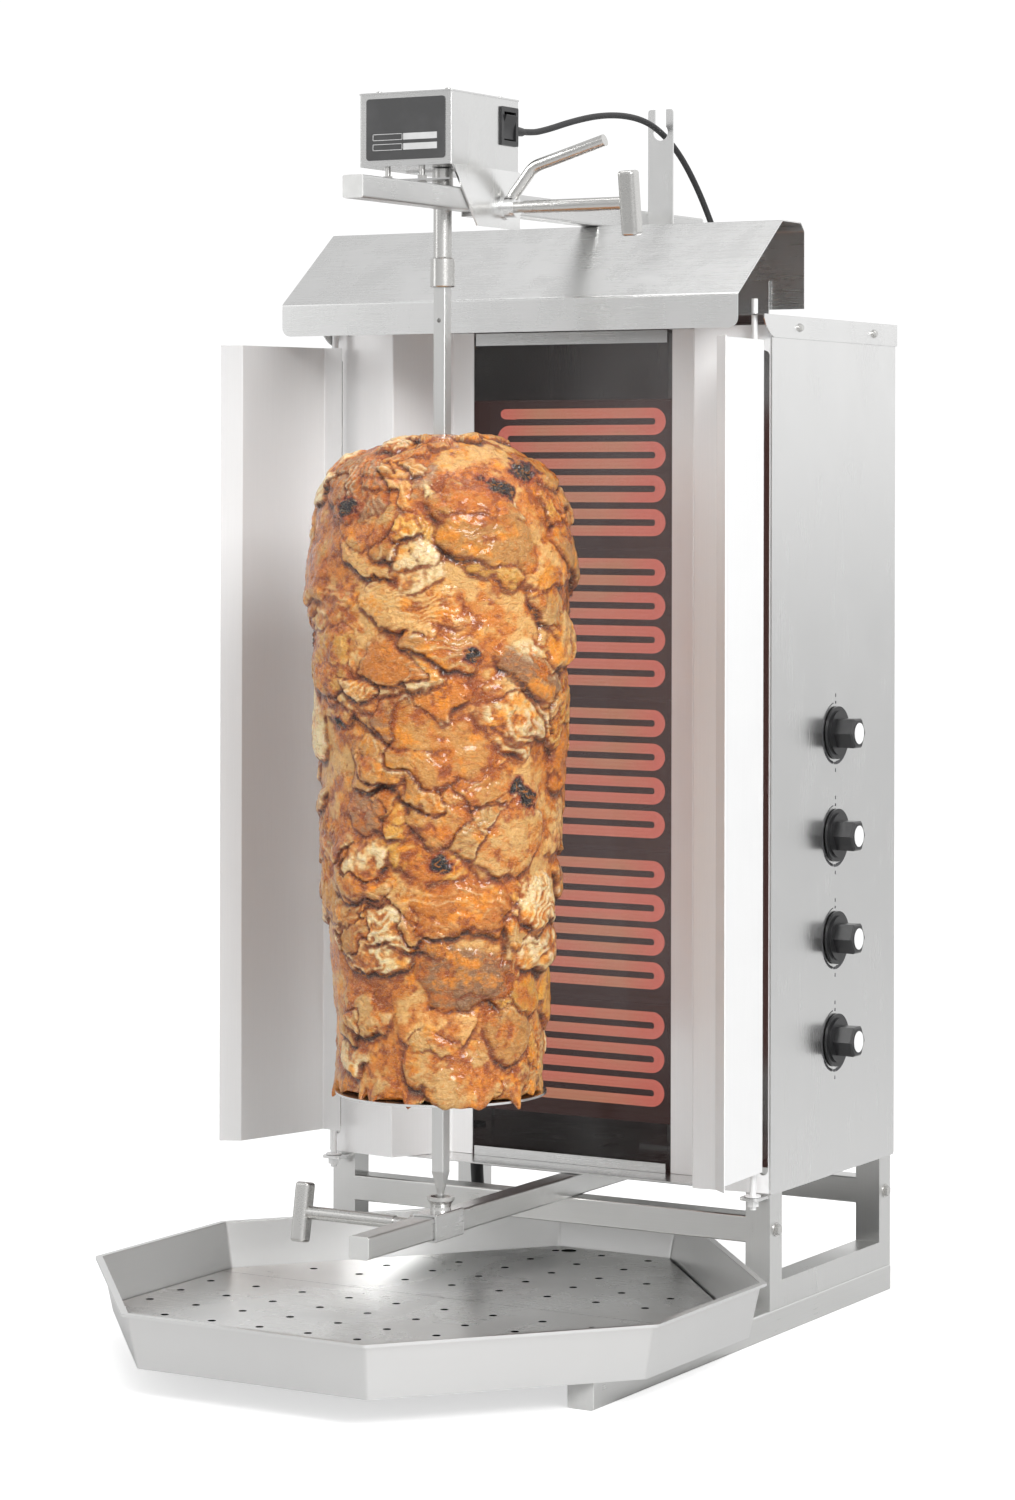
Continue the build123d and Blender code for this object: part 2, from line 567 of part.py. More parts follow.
plate_r = 95.0
with BuildPart() as meat_plate:
    rod((spit_x, spit_y, meat_low - 2.5), (0, 0, 1), plate_r, 2.0)
    rod((spit_x, spit_y, meat_low - 14.0), (0, 0, 1), 14.0, 12.0)
    block(spit_x - 6.05, spit_x + 6.05, spit_y - 6.05, spit_y + 6.05, meat_low - 20, meat_low + 1,
          mode=Mode.SUBTRACT)
save(meat_plate, "meat_plate")

with BuildPart() as meat_stack:
    with BuildSketch(Plane(origin=(spit_x, spit_y, 0), x_dir=(1, 0, 0), z_dir=(0, -1, 0))):
        with BuildLine():
            Spline((88, meat_low), (95, 300), (106, 430), (116, 590), (121, 720), (110, 782),
                   (72, 815), (26, meat_high))
            Polyline((88, meat_low), (0, meat_low), (0, meat_high), (26, meat_high))
        make_face()
    revolve(axis=Axis((spit_x, spit_y, 0), (0, 0, 1)))
    block(spit_x - 6.3, spit_x + 6.3, spit_y - 6.3, spit_y + 6.3, meat_low - 1, meat_high + 1,
          mode=Mode.SUBTRACT)
save(meat_stack, "meat_stack")

# ---- lower carriage with the spit's bearing ----
saddle_y0 = spit_y - 28.0
saddle_y1 = spit_y + 20.0
saddle_in = arm / 2 + gap
saddle_out = saddle_in + 2.0
with BuildPart() as lower_saddle:
    block(spit_x - saddle_out, spit_x + saddle_out, saddle_y0, saddle_y1, lower_arm_z - saddle_out,
          lower_arm_z + saddle_out)
    fillet(lower_saddle.edges().filter_by(Axis.Y), 1.5)
    block(spit_x - saddle_in, spit_x + saddle_in, saddle_y0 - 1, saddle_y1 + 1, lower_arm_z - saddle_in,
          lower_arm_z + saddle_in, mode=Mode.SUBTRACT)
    lower_clamp_y = spit_y - 16.0
    rod((spit_x - saddle_out, lower_clamp_y, lower_arm_z), (-1, 0, 0), 9.0, 8.0)
    rod((spit_x - saddle_in + 1, lower_clamp_y, lower_arm_z), (-1, 0, 0), 5.1, 20.0, mode=Mode.SUBTRACT)
save(lower_saddle, "lower_saddle")

cup_low = lower_arm_z + saddle_out
with BuildPart() as bearing_cup:
    with BuildSketch(Plane(origin=(spit_x, spit_y, 0), x_dir=(1, 0, 0), z_dir=(0, -1, 0))):
        with BuildLine():
            Polyline((0, cup_low), (9.5, cup_low), (9.0, cup_low + 3), (10.0, cup_low + 6),
                     (12.5, cup_low + 9), (12.5, cup_low + 12), (9.0, cup_low + 12), (3.05, cup_low + 7),
                     (3.05, point_z - 0.1), (0, point_z - 0.1), close=True)
        make_face()
    revolve(axis=Axis((spit_x, spit_y, 0), (0, 0, 1)))
save(bearing_cup, "bearing_cup")

with BuildPart() as lower_clamp_screw:
    bar_x = mid_x - 117.0
    tip_x = spit_x - arm / 2 - 0.2
    rod((tip_x, lower_clamp_y, lower_arm_z), (-1, 0, 0), 5.0, tip_x - bar_x)
    rod((spit_x - 38.0, lower_clamp_y, lower_arm_z), (-1, 0, 0), 6.0, spit_x - 38.0 - bar_x)
    tilt = math.radians(-10)
    way = (0, -math.sin(tilt), math.cos(tilt))
    with BuildSketch(Plane(origin=(bar_x, lower_clamp_y, lower_arm_z), x_dir=(1, 0, 0), z_dir=way)):
        RectangleRounded(15.0, 15.0, 4.0)
    extrude(amount=27.0, both=True)
    fillet(lower_clamp_screw.faces().sort_by(Axis.Z)[-1].edges(), 3.0)
    fillet(lower_clamp_screw.faces().sort_by(Axis.Z)[0].edges(), 3.0)
save(lower_clamp_screw, "lower_clamp_screw")

# ---- hinged side shields ----
shield_low = 156.0
shield_high = 917.0
bracket_low = 129.0
with BuildPart() as hinge_brackets:
    for side in sides:
        x0 = mid_x + side * (shield_pin_x - 11)
        x1 = mid_x + side * (shield_pin_x + 9)
        block(min(x0, x1), max(x0, x1), front_y - 21.0, post_front, bracket_low, bracket_low + 2.5)
        fillet(hinge_brackets.edges().filter_by(Axis.Z).group_by(Axis.Y)[0], 5.0)
        rod((mid_x + side * shield_pin_x, shield_pin_y, bracket_low - 1), (0, 0, 1), 3.05, 6.0,
            mode=Mode.SUBTRACT)
save(hinge_brackets, "hinge_brackets")

for side, name, open_deg in ((-1, "left_shield", 16.0), (1, "right_shield", 3.0)):
    with BuildPart() as shield:
        pin_x = mid_x + side * shield_pin_x
        knee = math.radians(open_deg)
        flare = math.radians(open_deg + 46.0)
        start = (pin_x - side * 9.0, shield_pin_y - 3.0)
        heel = (pin_x + side * 10.5, shield_pin_y - 3.0)
        fold = (heel[0] + side * 104 * math.sin(knee), heel[1] - 104 * math.cos(knee))
        tip = (fold[0] + side * 21 * math.sin(flare), fold[1] - 21 * math.cos(flare))
        outline = [start, heel, fold, tip]
        if side < 0:
            outline.reverse()
        bent_sheet(Plane.XY.offset(shield_low), outline, 1.0, shield_high - shield_low, bend=1.6)
        rod((pin_x, shield_pin_y, bracket_low - 9.0), (0, 0, 1), 3.0, 68.0)
        rod((pin_x, shield_pin_y, shield_high - 30.0), (0, 0, 1), 3.0, 68.0)
        rod((pin_x, shield_pin_y, bracket_low + 2.8), (0, 0, 1), 7.5, 1.4)
        with BuildSketch(Plane.XY.offset(bracket_low - 5.8)):
            with Locations((pin_x, shield_pin_y)):
                RegularPolygon(5.8, 6)
        extrude(amount=5.5)
    save(shield, name)

# ---- drip tray with its perforated inserts ----
tray_x = 0.0
tray_low = tube
rim_z = 73.0
wall_taper = -12.0
flare_out = (rim_z - tray_low) * math.tan(math.radians(-wall_taper))


def tray_outline(grow):
    """Eight corners of the tray: wide front and sides, long slanted rear corners."""
    half = 278.0 + grow
    nose = 116.0 + 0.4 * grow
    tail = 62.0 + 0.4 * grow
    y_nose = front_y - 488.0 - grow
    y_side = front_y - 300.0 - 0.4 * grow
    y_hip = front_y - 106.0 + 0.3 * grow
    y_tail = front_y + 152.0 + grow
    right = [(tray_x + nose, y_nose), (tray_x + half, y_side), (tray_x + half, y_hip), (tray_x + tail, y_tail)]
    left = [(2 * tray_x - x, y) for x, y in reversed(right)]
    return right + left


with BuildPart() as drip_tray:
    with BuildSketch(Plane.XY.offset(tray_low)):
        Polygon(*tray_outline(0), align=None)
        fillet(vertices(), 6.0)
    with BuildSketch(Plane.XY.offset(rim_z)):
        Polygon(*tray_outline(flare_out), align=None)
        fillet(vertices(), 6.0)
    loft()
    with BuildSketch(Plane.XY.offset(tray_low + sheet)):
        Polygon(*tray_outline(-sheet), align=None)
        fillet(vertices(), 5.0)
    with BuildSketch(Plane.XY.offset(rim_z + 0.01)):
        Polygon(*tray_outline(flare_out - sheet), align=None)
        fillet(vertices(), 5.0)
    loft(mode=Mode.SUBTRACT)
    with BuildSketch(Plane.XY.offset(rim_z - 1.4)):
        Polygon(*tray_outline(flare_out + 5.0), align=None)
        fillet(vertices(), 5.0)
        Polygon(*tray_outline(flare_out - sheet), align=None, mode=Mode.SUBTRACT)
    extrude(amount=2.6)
save(drip_tray, "drip_tray")

grid_top = 32.0
hole_pitch = 51.5
hole_r = 3.8
seam_y = front_y - 126.0
with BuildPart() as drip_grids:
    for y0, y1 in ((front_y - 600, seam_y - 0.3), (seam_y + 0.3, front_y + 300)):
        with BuildSketch(Plane.XY.offset(grid_top - sheet)):
            Polygon(*tray_outline(-3.0), align=None)
            with Locations((tray_x, (y0 + y1) / 2)):
                Rectangle(700, y1 - y0, mode=Mode.INTERSECT)
            holes = []
            for row in range(13):
                y = front_y - 468 + row * 49.5
                for column in range(-5, 6):
                    x = tray_x + column * hole_pitch
                    reach = 262.0
                    if y < front_y - 300:
                        reach = 104 + (y - (front_y - 478)) * 0.86
                    if y > front_y - 100:
                        reach = 252 - (y - (front_y - 100)) * 0.86
                    if abs(x - tray_x) < reach and y0 + 8 < y < y1 - 8:
                        holes.append((x, y))
            with Locations(*holes):
                Circle(hole_r, mode=Mode.SUBTRACT)
            if y1 > front_y:
                with Locations((tray_x - 40.0, front_y + 132.0)):
                    Circle(7.5, mode=Mode.SUBTRACT)
        extrude(amount=sheet)
        foot_low = tray_low + sheet
        for y in (max(y0, front_y - 470), min(y1, front_y + 120)):
            inner = 90.0 if abs(y - seam_y) > 5 else 230.0
            inner = 40.0 if y > front_y else inner
            y_in = y if y == max(y0, front_y - 470) else y - sheet
            block(tray_x - inner, tray_x + inner, y_in, y_in + sheet, foot_low, grid_top - sheet)
save(drip_grids, "drip_grids")

# ---- motor lead: from the motor box over the guide and down into the lid ----
def cord_radii(points):
    """Bend radii that are as large as the two runs at each point allow."""
    radii = []
    for a, b, c in zip(points, points[1:], points[2:]):
        run_in, run_out = Vector(*b) - Vector(*a), Vector(*c) - Vector(*b)
        half_turn = math.radians(run_in.get_angle(run_out)) / 2
        radii.append(0.45 * min(run_in.length, run_out.length) / math.tan(half_turn))
    return radii


def cord_tube(points, diameter):
    """A cord: straight runs joined by tangent arcs, in the part that is being built."""
    radii = cord_radii(points)
    print("bend radii over diameter", [round(r / diameter, 1) for r in radii])
    with BuildLine() as route:
        FilletPolyline(*points, radius=radii)
    with BuildSketch(Plane(origin=points[0], z_dir=Vector(*points[1]) - Vector(*points[0]))) as section:
        Circle(diameter / 2)
    sweep(section.sketch, path=route.line)
    run = route.wires()[0].length
    print("cord length", round(run, 1), "section times length", round(math.pi * diameter ** 2 / 4 * run))


gland_len = 22.0
with BuildPart() as motor_cord_gland:
    for start, way in ((motor_exit, (0, 1, 0)), ((lead_x, lead_y, cabinet_top), (0, 0, 1))):
        sgn = Vector(*way)
        base = Vector(*start)
        rod(base, way, 8.0, 3.0)
        with BuildSketch(Plane(origin=base + sgn * 3.0, z_dir=way)):
            Circle(5.2)
        extrude(amount=gland_len - 3.0, taper=4)
        rod(base - sgn * 3.0, way, 5.6, 3.0)
        rod(base - sgn * 6.0, way, cord_d / 2 + 0.25, gland_len + 6.0, mode=Mode.SUBTRACT)
    glands = motor_cord_gland.solids().sort_by(Axis.Y)
box_gland, lid_gland = glands[0], glands[-1]
box_gland.label = "motor_cord_gland"
export_step(box_gland, "parts/motor_cord_gland.step")
lid_gland.label = "lid_cord_gland"
export_step(lid_gland, "parts/lid_cord_gland.step")

motor_route = [
    (motor_exit[0], box_y1 - 2.0, motor_exit[2]),
    (motor_exit[0], box_y1 + 37.0, motor_exit[2]),
    (mid_x + 46.5, front_y - 76.0, 1113.0),
    (mid_x + 51.0, front_y - 40.0, 1123.0),
    (mid_x + 56.0, front_y + 3.0, 1132.0),
    (mid_x + 60.5, front_y + 46.0, 1135.5),
    (mid_x + 64.0, front_y + 84.0, 1132.5),
    (mid_x + 66.5, front_y + 116.0, 1121.5),
    (mid_x + 70.5, front_y + 143.0, 1102.5),
    (mid_x + 75.0, front_y + 168.0, 1074.0),
    (mid_x + 79.0, front_y + 190.0, 1041.0),
    (mid_x + 81.5, front_y + 209.0, 1009.0),
    (lead_x, lead_y, 980.0),
    (lead_x, lead_y, cabinet_top + 3.0),
]
with BuildPart() as motor_cord:
    cord_tube(motor_route, cord_d)
print("motor cord volume", motor_cord.part.volume)
save(motor_cord, "motor_cord")

# ---- mains lead: out of the cabinet's underside, coiled behind, with its plug ----
floor_z = mains_d / 2
coil_x = mid_x - 80.0
coil_y = front_y + 266.0
coil_r = 73.0
with BuildPart() as mains_gland:
    rod((mains_x, mains_y, cabinet_low), (0, 0, -1), 13.0, 4.0)
    with BuildSketch(Plane(origin=(mains_x, mains_y, cabinet_low - 4.0), z_dir=(0, 0, -1))):
        Circle(10.5)
    extrude(amount=24.0, taper=5)
    rod((mains_x, mains_y, cabinet_low), (0, 0, 1), 9.8, 4.0)
    rod((mains_x, mains_y, cabinet_low + 5), (0, 0, -1), mains_d / 2, 40.0, mode=Mode.SUBTRACT)
save(mains_gland, "mains_gland")

with BuildPart() as mains_coil:
    rod((coil_x, coil_y, 0), (0, 0, 1), coil_r + mains_d, 2 * mains_d)
    rod((coil_x, coil_y, -1), (0, 0, 1), coil_r - mains_d, 2 * mains_d + 2, mode=Mode.SUBTRACT)
save(mains_coil, "mains_coil")

lead_route = [
    (mains_x, mains_y, cabinet_low + 2.0),
    (mains_x, mains_y, cabinet_low - 50.0),
    (mains_x + 7.0, mains_y - 1.0, cabinet_low - 85.0),
    (mains_x + 27.0, mains_y - 4.0, cabinet_low - 112.0),
    (mains_x + 56.0, mains_y - 9.0, floor_z + 1.0),
    (coil_x - 26.0, coil_y - 75.1, floor_z),
]
plug_z = 23.0
tail_route = [
    (coil_x - 30.0, coil_y + 77.3, 20.5),
    (coil_x - 48.5, coil_y + 73.2, 22.0),
    (coil_x - 67.0, coil_y + 67.2, plug_z),
    (coil_x - 86.0, coil_y + 60.0, plug_z),
]
with BuildPart() as mains_cord:
    cord_tube(lead_route, mains_d)
    cord_tube(tail_route, mains_d)
    print("mains cord volume", mains_cord.part.volume)
save(mains_cord, "mains_cord")

plug_start = Vector(*tail_route[-1])
plug_way = Vector(-19.0, -7.2, 0).normalized()
plug_side = Vector(-plug_way.Y, plug_way.X, 0)
with BuildPart() as mains_plug:
    with BuildSketch(Plane(origin=plug_start, x_dir=plug_side, z_dir=(0, 0, -1))) as half:
        with BuildLine():
            Polyline((0, 0), (10.5, 0), (12.5, 20), (15.0, 24), (20.5, 40), (20.5, 55), (23.0, 55),
                     (23.0, 60), (21.5, 60), (21.5, 96), (19.0, 96), (19.0, 62), (0, 62), close=True)
        make_face()
    revolve(half.sketch, axis=Axis(plug_start, plug_way))
    for turn in range(5):
        angle = math.radians(90 + 72 * turn)
        around = plug_side * (11.0 * math.cos(angle)) + Vector(0, 0, 11.0 * math.sin(angle))
        rod(plug_start + plug_way * 61.0 + around, plug_way, 3.0 if turn == 0 else 2.5, 32.0)
save(mains_plug, "mains_plug")
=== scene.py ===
import math
import bpy
import bmesh
import numpy as np
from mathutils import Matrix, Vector


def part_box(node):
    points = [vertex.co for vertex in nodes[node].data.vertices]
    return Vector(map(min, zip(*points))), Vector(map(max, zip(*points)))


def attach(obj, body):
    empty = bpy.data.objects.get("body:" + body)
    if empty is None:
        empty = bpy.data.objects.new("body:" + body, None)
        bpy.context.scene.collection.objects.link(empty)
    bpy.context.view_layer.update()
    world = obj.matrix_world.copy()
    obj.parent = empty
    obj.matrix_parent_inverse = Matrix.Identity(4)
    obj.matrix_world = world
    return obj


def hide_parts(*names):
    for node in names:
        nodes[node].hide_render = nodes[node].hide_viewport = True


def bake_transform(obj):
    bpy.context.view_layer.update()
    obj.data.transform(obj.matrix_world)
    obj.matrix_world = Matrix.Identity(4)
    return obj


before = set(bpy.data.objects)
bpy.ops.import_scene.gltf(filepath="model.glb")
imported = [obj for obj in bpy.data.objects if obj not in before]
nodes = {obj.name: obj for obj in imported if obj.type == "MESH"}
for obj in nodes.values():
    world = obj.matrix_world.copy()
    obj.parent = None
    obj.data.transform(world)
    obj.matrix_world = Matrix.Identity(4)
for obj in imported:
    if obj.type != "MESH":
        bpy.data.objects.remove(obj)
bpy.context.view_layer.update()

# ---- places taken from the frame, in metres ----

CABINET_HALF = 0.240    # from the cabinet's middle to the outer face of its right side panel
PANEL_LOW, PANEL_HIGH = (Vector(corner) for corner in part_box("right_side_panel"))
SPIT_LOW, SPIT_HIGH = (Vector(corner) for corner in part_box("spit_bar"))
SPIT_X = (SPIT_LOW.x + SPIT_HIGH.x) / 2
SPIT_Y = (SPIT_LOW.y + SPIT_HIGH.y) / 2
FRONT_Y = PANEL_LOW.y
MID_X = PANEL_HIGH.x - CABINET_HALF
KNOB_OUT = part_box("knob_1")[1][0]
PLATE_LOW, PLATE_HIGH = (Vector(corner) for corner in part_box("name_plate"))


def add(name, data):
    """Puts a new object into the scene."""
    made = bpy.data.objects.new(name, data)
    bpy.context.scene.collection.objects.link(made)
    return made


# ---- camera, light and floor ----

CAMERA_RIGHT = 1.867    # metres to the right of the cabinet's middle
CAMERA_AHEAD = 3.2778   # metres in front of its front
CAMERA_UP = 0.7787      # metres above the floor
CAMERA_TURN = 30.2      # degrees round to the left
CAMERA_ROLL = -0.12     # degrees
FLOOR_GREY = 0.62
FLOOR_SIZE = 160        # metres
ROOM_STRENGTH = 1.06
MIX_FACTOR, MIX_A, MIX_B, MIX_RESULT = 0, 6, 7, 2   # the colour sockets of a Mix node, by number


def make_camera():
    """A long lens that looks level, from the front right."""
    data = bpy.data.cameras.new("camera")
    camera = add("camera", data)
    camera.location = (MID_X + CAMERA_RIGHT, FRONT_Y - CAMERA_AHEAD, CAMERA_UP)
    camera.rotation_euler = (math.radians(90), math.radians(CAMERA_ROLL), math.radians(CAMERA_TURN))
    data.sensor_fit = "VERTICAL"
    data.sensor_height = 36.0
    data.lens = 95.5
    data.shift_y = -0.173
    bpy.context.scene.camera = camera
    bpy.context.scene.view_settings.view_transform = "Standard"


def area_light(name, place, target, size, power, colour=(1, 1, 1)):
    data = bpy.data.lights.new(name, "AREA")
    data.shape = "RECTANGLE"
    data.size, data.size_y = size
    data.energy = power
    data.color = colour
    light = add(name, data)
    light.location = place
    light.rotation_euler = (Vector(target) - Vector(place)).to_track_quat("-Z", "Y").to_euler()
    return light


def make_world():
    """A pale room, for light and reflections: greyer overhead, below, at the left and on the camera's side.

    The camera itself sees plain white.
    """
    world = bpy.data.worlds.new("studio")
    bpy.context.scene.world = world
    world.use_nodes = True
    tree = world.node_tree
    tree.nodes.clear()

    def node(kind, **settings):
        made = tree.nodes.new("ShaderNode" + kind)
        for key, value in settings.items():
            setattr(made, key, value)
        return made

    def graded(source, stops):
        """Greys along one axis of the direction, whose -1 to 1 are the stops' 0 to 1."""
        place = node("MapRange")
        place.inputs["From Min"].default_value = -1
        tree.links.new(source, place.inputs["Value"])
        ramp = node("ValToRGB")
        ramp.color_ramp.interpolation = "EASE"
        while len(ramp.color_ramp.elements) < len(stops):
            ramp.color_ramp.elements.new(0.5)
        for element, (where, grey) in zip(ramp.color_ramp.elements, stops):
            element.position = where
            element.color = (grey, grey, grey, 1)
        tree.links.new(place.outputs["Result"], ramp.inputs["Fac"])
        return ramp.outputs["Color"]

    split = node("SeparateXYZ")
    tree.links.new(node("TexCoord").outputs["Generated"], split.inputs[0])
    by_height = [(0.0, 0.9), (0.48, 0.9), (0.53, 1.0), (0.75, 1.0), (0.92, 0.80), (1.0, 0.84)]
    to_the_right = [(0.0, 0.80), (0.20, 0.76), (0.45, 1.0), (0.78, 1.08), (0.95, 0.86), (1.0, 0.90)]
    to_the_rear = [(0.0, 0.80), (0.10, 0.82), (0.35, 0.95), (0.60, 1.0), (1.0, 1.0)]
    grey = graded(split.outputs["Z"], by_height)
    for axis, stops in (("X", to_the_right), ("Y", to_the_rear)):
        both = node("Mix", data_type="RGBA", blend_type="MULTIPLY")
        both.inputs[MIX_FACTOR].default_value = 1.0
        tree.links.new(grey, both.inputs[MIX_A])
        tree.links.new(graded(split.outputs[axis], stops), both.inputs[MIX_B])
        grey = both.outputs[MIX_RESULT]
    seen = node("Mix", data_type="RGBA")
    seen.inputs[MIX_B].default_value = (1, 1, 1, 1)
    tree.links.new(node("LightPath").outputs["Is Camera Ray"], seen.inputs[MIX_FACTOR])
    tree.links.new(grey, seen.inputs[MIX_A])
    background = node("Background")
    background.inputs["Strength"].default_value = ROOM_STRENGTH
    tree.links.new(seen.outputs[MIX_RESULT], background.inputs["Color"])
    tree.links.new(background.outputs[0], node("OutputWorld").inputs["Surface"])


def make_floor():
    """A pale floor that glows for the camera, so that it meets the white room, and catches shadows."""
    bpy.ops.mesh.primitive_plane_add(size=FLOOR_SIZE, location=(0, 0, 0))
    floor = bpy.context.object
    floor.name = "floor"
    material = bpy.data.materials.new("floor")
    material.use_nodes = True
    shader = material.node_tree.nodes["Principled BSDF"]
    shader.inputs["Base Color"].default_value = (FLOOR_GREY, FLOOR_GREY, FLOOR_GREY, 1)
    shader.inputs["Roughness"].default_value = 0.5
    shader.inputs["Emission Color"].default_value = (FLOOR_GREY, FLOOR_GREY, FLOOR_GREY, 1)
    seen = material.node_tree.nodes.new("ShaderNodeLightPath").outputs["Is Camera Ray"]
    material.node_tree.links.new(seen, shader.inputs["Emission Strength"])
    floor.data.materials.append(material)


def heater_light():
    """The warm light that the hot elements throw on the meat, not seen itself."""
    x, y, z = SPIT_X + 0.02, SPIT_Y + 0.138, 0.53
    warm = (1.0, 0.34, 0.12)
    lamp = area_light("heater_light", (x, y, z), (x, y - 1, z), (0.14, 0.62), 0.10, warm)
    lamp.data.spread = math.radians(140)
    lamp.visible_glossy = False
    lamp.visible_camera = False


make_camera()
make_world()
make_floor()
heater_light()
area_light("key", (2.9, -1.9, 2.5), (0, 0, 0.6), (1.4, 1.4), 105)
area_light("left_wall", (-2.5, -2.2, 1.7), (0, 0, 0.6), (1.0, 2.2), 10)
area_light("top", (-0.3, -0.3, 3.2), (0, -0.1, 0.5), (1.4, 1.4), 16)


# ---- materials ----

class Surface:
    """A procedural material: a Principled shader with object coordinates for its noises."""

    def __init__(self, name, colour, roughness, metallic=0.0, **inputs):
        self.material = bpy.data.materials.new(name)
        self.material.use_nodes = True
        self.tree = self.material.node_tree
        self.shader = self.tree.nodes["Principled BSDF"]
        self.where = self.tree.nodes.new("ShaderNodeTexCoord").outputs["Object"]
        self.set("Base Color", (*colour, 1))
        self.set("Roughness", roughness)
        self.set("Metallic", metallic)
        for key, value in inputs.items():
            self.set(key.replace("_", " "), value)

    def set(self, name, value):
        self.shader.inputs[name].default_value = value

    def node(self, kind, **settings):
        made = self.tree.nodes.new("ShaderNode" + kind)
        for key, value in settings.items():
            setattr(made, key, value)
        return made

    def link(self, source, target):
        self.tree.links.new(source, target)

    def axis(self, name):
        """One of the object coordinates, in metres."""
        split = self.node("SeparateXYZ")
        self.link(self.where, split.inputs[0])
        return split.outputs[name]

    def facing(self, direction):
        """How far a face looks along a direction: 1 straight along it, 0 across it."""
        dot = self.node("VectorMath", operation="DOT_PRODUCT")
        dot.inputs[1].default_value = direction
        self.link(self.node("NewGeometry").outputs["Normal"], dot.inputs[0])
        return dot.outputs["Value"]

    def scaled(self, scale):
        """Object coordinates stretched along the axes."""
        mapping = self.node("Mapping")
        mapping.inputs["Scale"].default_value = scale
        self.link(self.where, mapping.inputs["Vector"])
        return mapping.outputs["Vector"]

    def noise(self, scale, stretch=(1, 1, 1), detail=3.0, rough=0.5, distortion=0.0):
        made = self.node("TexNoise")
        made.inputs["Scale"].default_value = scale
        made.inputs["Detail"].default_value = detail
        made.inputs["Roughness"].default_value = rough
        made.inputs["Distortion"].default_value = distortion
        self.link(self.scaled(stretch), made.inputs["Vector"])
        return made.outputs["Fac"]

    def ramp(self, source, stops):
        made = self.node("ValToRGB")
        elements = made.color_ramp.elements
        while len(elements) < len(stops):
            elements.new(0.5)
        for element, (place, colour) in zip(elements, stops):
            element.position = place
            element.color = (*colour, 1)
        self.link(source, made.inputs["Fac"])
        return made.outputs["Color"]

    def grey(self, source, low, high, start=0.0, stop=1.0):
        """Maps a value between start and stop to low and high."""
        made = self.node("MapRange")
        made.inputs["From Min"].default_value = start
        made.inputs["From Max"].default_value = stop
        made.inputs["To Min"].default_value = low
        made.inputs["To Max"].default_value = high
        self.link(source, made.inputs["Value"])
        return made.outputs["Result"]

    def maths(self, operation, a, b):
        """One sum of two sockets or numbers."""
        made = self.node("Math", operation=operation)
        for slot, value in zip(made.inputs, (a, b)):
            if isinstance(value, (int, float)):
                slot.default_value = value
            else:
                self.link(value, slot)
        return made.outputs[0]

    def mix(self, factor, a, b, blend="MIX"):
        """Goes from a to b; each of them, and the factor, is a socket, a number or a colour."""
        made = self.node("Mix", data_type="RGBA", blend_type=blend)
        for name, value in ((MIX_FACTOR, factor), (MIX_A, a), (MIX_B, b)):
            if isinstance(value, (int, float)):
                made.inputs[name].default_value = value
            elif isinstance(value, tuple):
                made.inputs[name].default_value = (*value, 1)
            else:
                self.link(value, made.inputs[name])
        return made.outputs[MIX_RESULT]

    def bump(self, *layers):
        """Bumps from (height, depth in metres) pairs, one over the other."""
        below = None
        for height, depth in layers:
            made = self.node("Bump")
            made.inputs["Strength"].default_value = 1.0
            made.inputs["Distance"].default_value = depth
            self.link(height, made.inputs["Height"])
            if below:
                self.link(below, made.inputs["Normal"])
            below = made.outputs["Normal"]
        self.link(below, self.shader.inputs["Normal"])

    def colour(self, source):
        self.link(source, self.shader.inputs["Base Color"])

    def roughness(self, source):
        self.link(source, self.shader.inputs["Roughness"])


def brushed(name, base, grain, rough, depth=0.000004, fine=1400.0, metallic=1.0, shade_facing=None):
    """Sheet steel: hair lines along the axis that grain shrinks, faint clouds and smears.

    Faces that look along the given direction get painted shade, darkened as inside a hood.
    """
    metal = Surface(name, base, rough, metallic=metallic)
    lines = metal.noise(fine, grain, detail=2.0, rough=0.6)
    clouds = metal.noise(5.0, detail=3.0, rough=0.55)
    smears = metal.noise(26.0, (1, 1, 0.6), detail=3.0, distortion=0.6)
    dark, light = tuple(0.955 * c for c in base), tuple(min(1.0, 1.03 * c) for c in base)
    tone = metal.mix(lines, dark, light)
    tone = metal.mix(metal.grey(clouds, 0.0, 0.10, 0.35, 0.7), tone, tuple(0.88 * c for c in base))
    # painted shade: faces that look along the given direction are mixed towards dark grey
    if shade_facing:
        tone = metal.mix(metal.grey(metal.facing(shade_facing), 0.0, 0.85, 0.75, 0.95), tone, (0.20, 0.215, 0.225))
    metal.colour(tone)
    metal.roughness(metal.maths("ADD", metal.grey(lines, -0.02, 0.025, 0.25, 0.75),
                                metal.grey(smears, rough - 0.02, rough + 0.03, 0.3, 0.7)))
    metal.bump((lines, depth))
    return metal.material


ALONG_X = (0.012, 1, 1)
ALONG_Y = (1, 0.012, 1)
ALONG_Z = (1, 1, 0.012)
steel_z = brushed("steel_upright_grain", (0.77, 0.77, 0.765), ALONG_Z, 0.24)
steel_x = brushed("steel_cross_grain", (0.77, 0.77, 0.765), ALONG_X, 0.25)
steel_y = brushed("steel_long_grain", (0.77, 0.77, 0.765), ALONG_Y, 0.25)
arm_steel = brushed("arm_steel", (0.60, 0.60, 0.595), ALONG_Y, 0.28)
box_steel = brushed("box_steel", (0.66, 0.66, 0.655), ALONG_X, 0.26)
bright = brushed("bright_sheet", (0.96, 0.96, 0.96), ALONG_Z, 0.36, depth=0.000002, metallic=0.30)
satin = brushed("satin_sheet", (0.85, 0.85, 0.85), ALONG_Z, 0.42, depth=0.000003, metallic=0.35)
# painted shade on the hood's inner faces, which look down and to the rear
hood_steel = brushed("hood_steel", (0.76, 0.76, 0.755), ALONG_X, 0.27, shade_facing=(0, 0.62, -0.785))
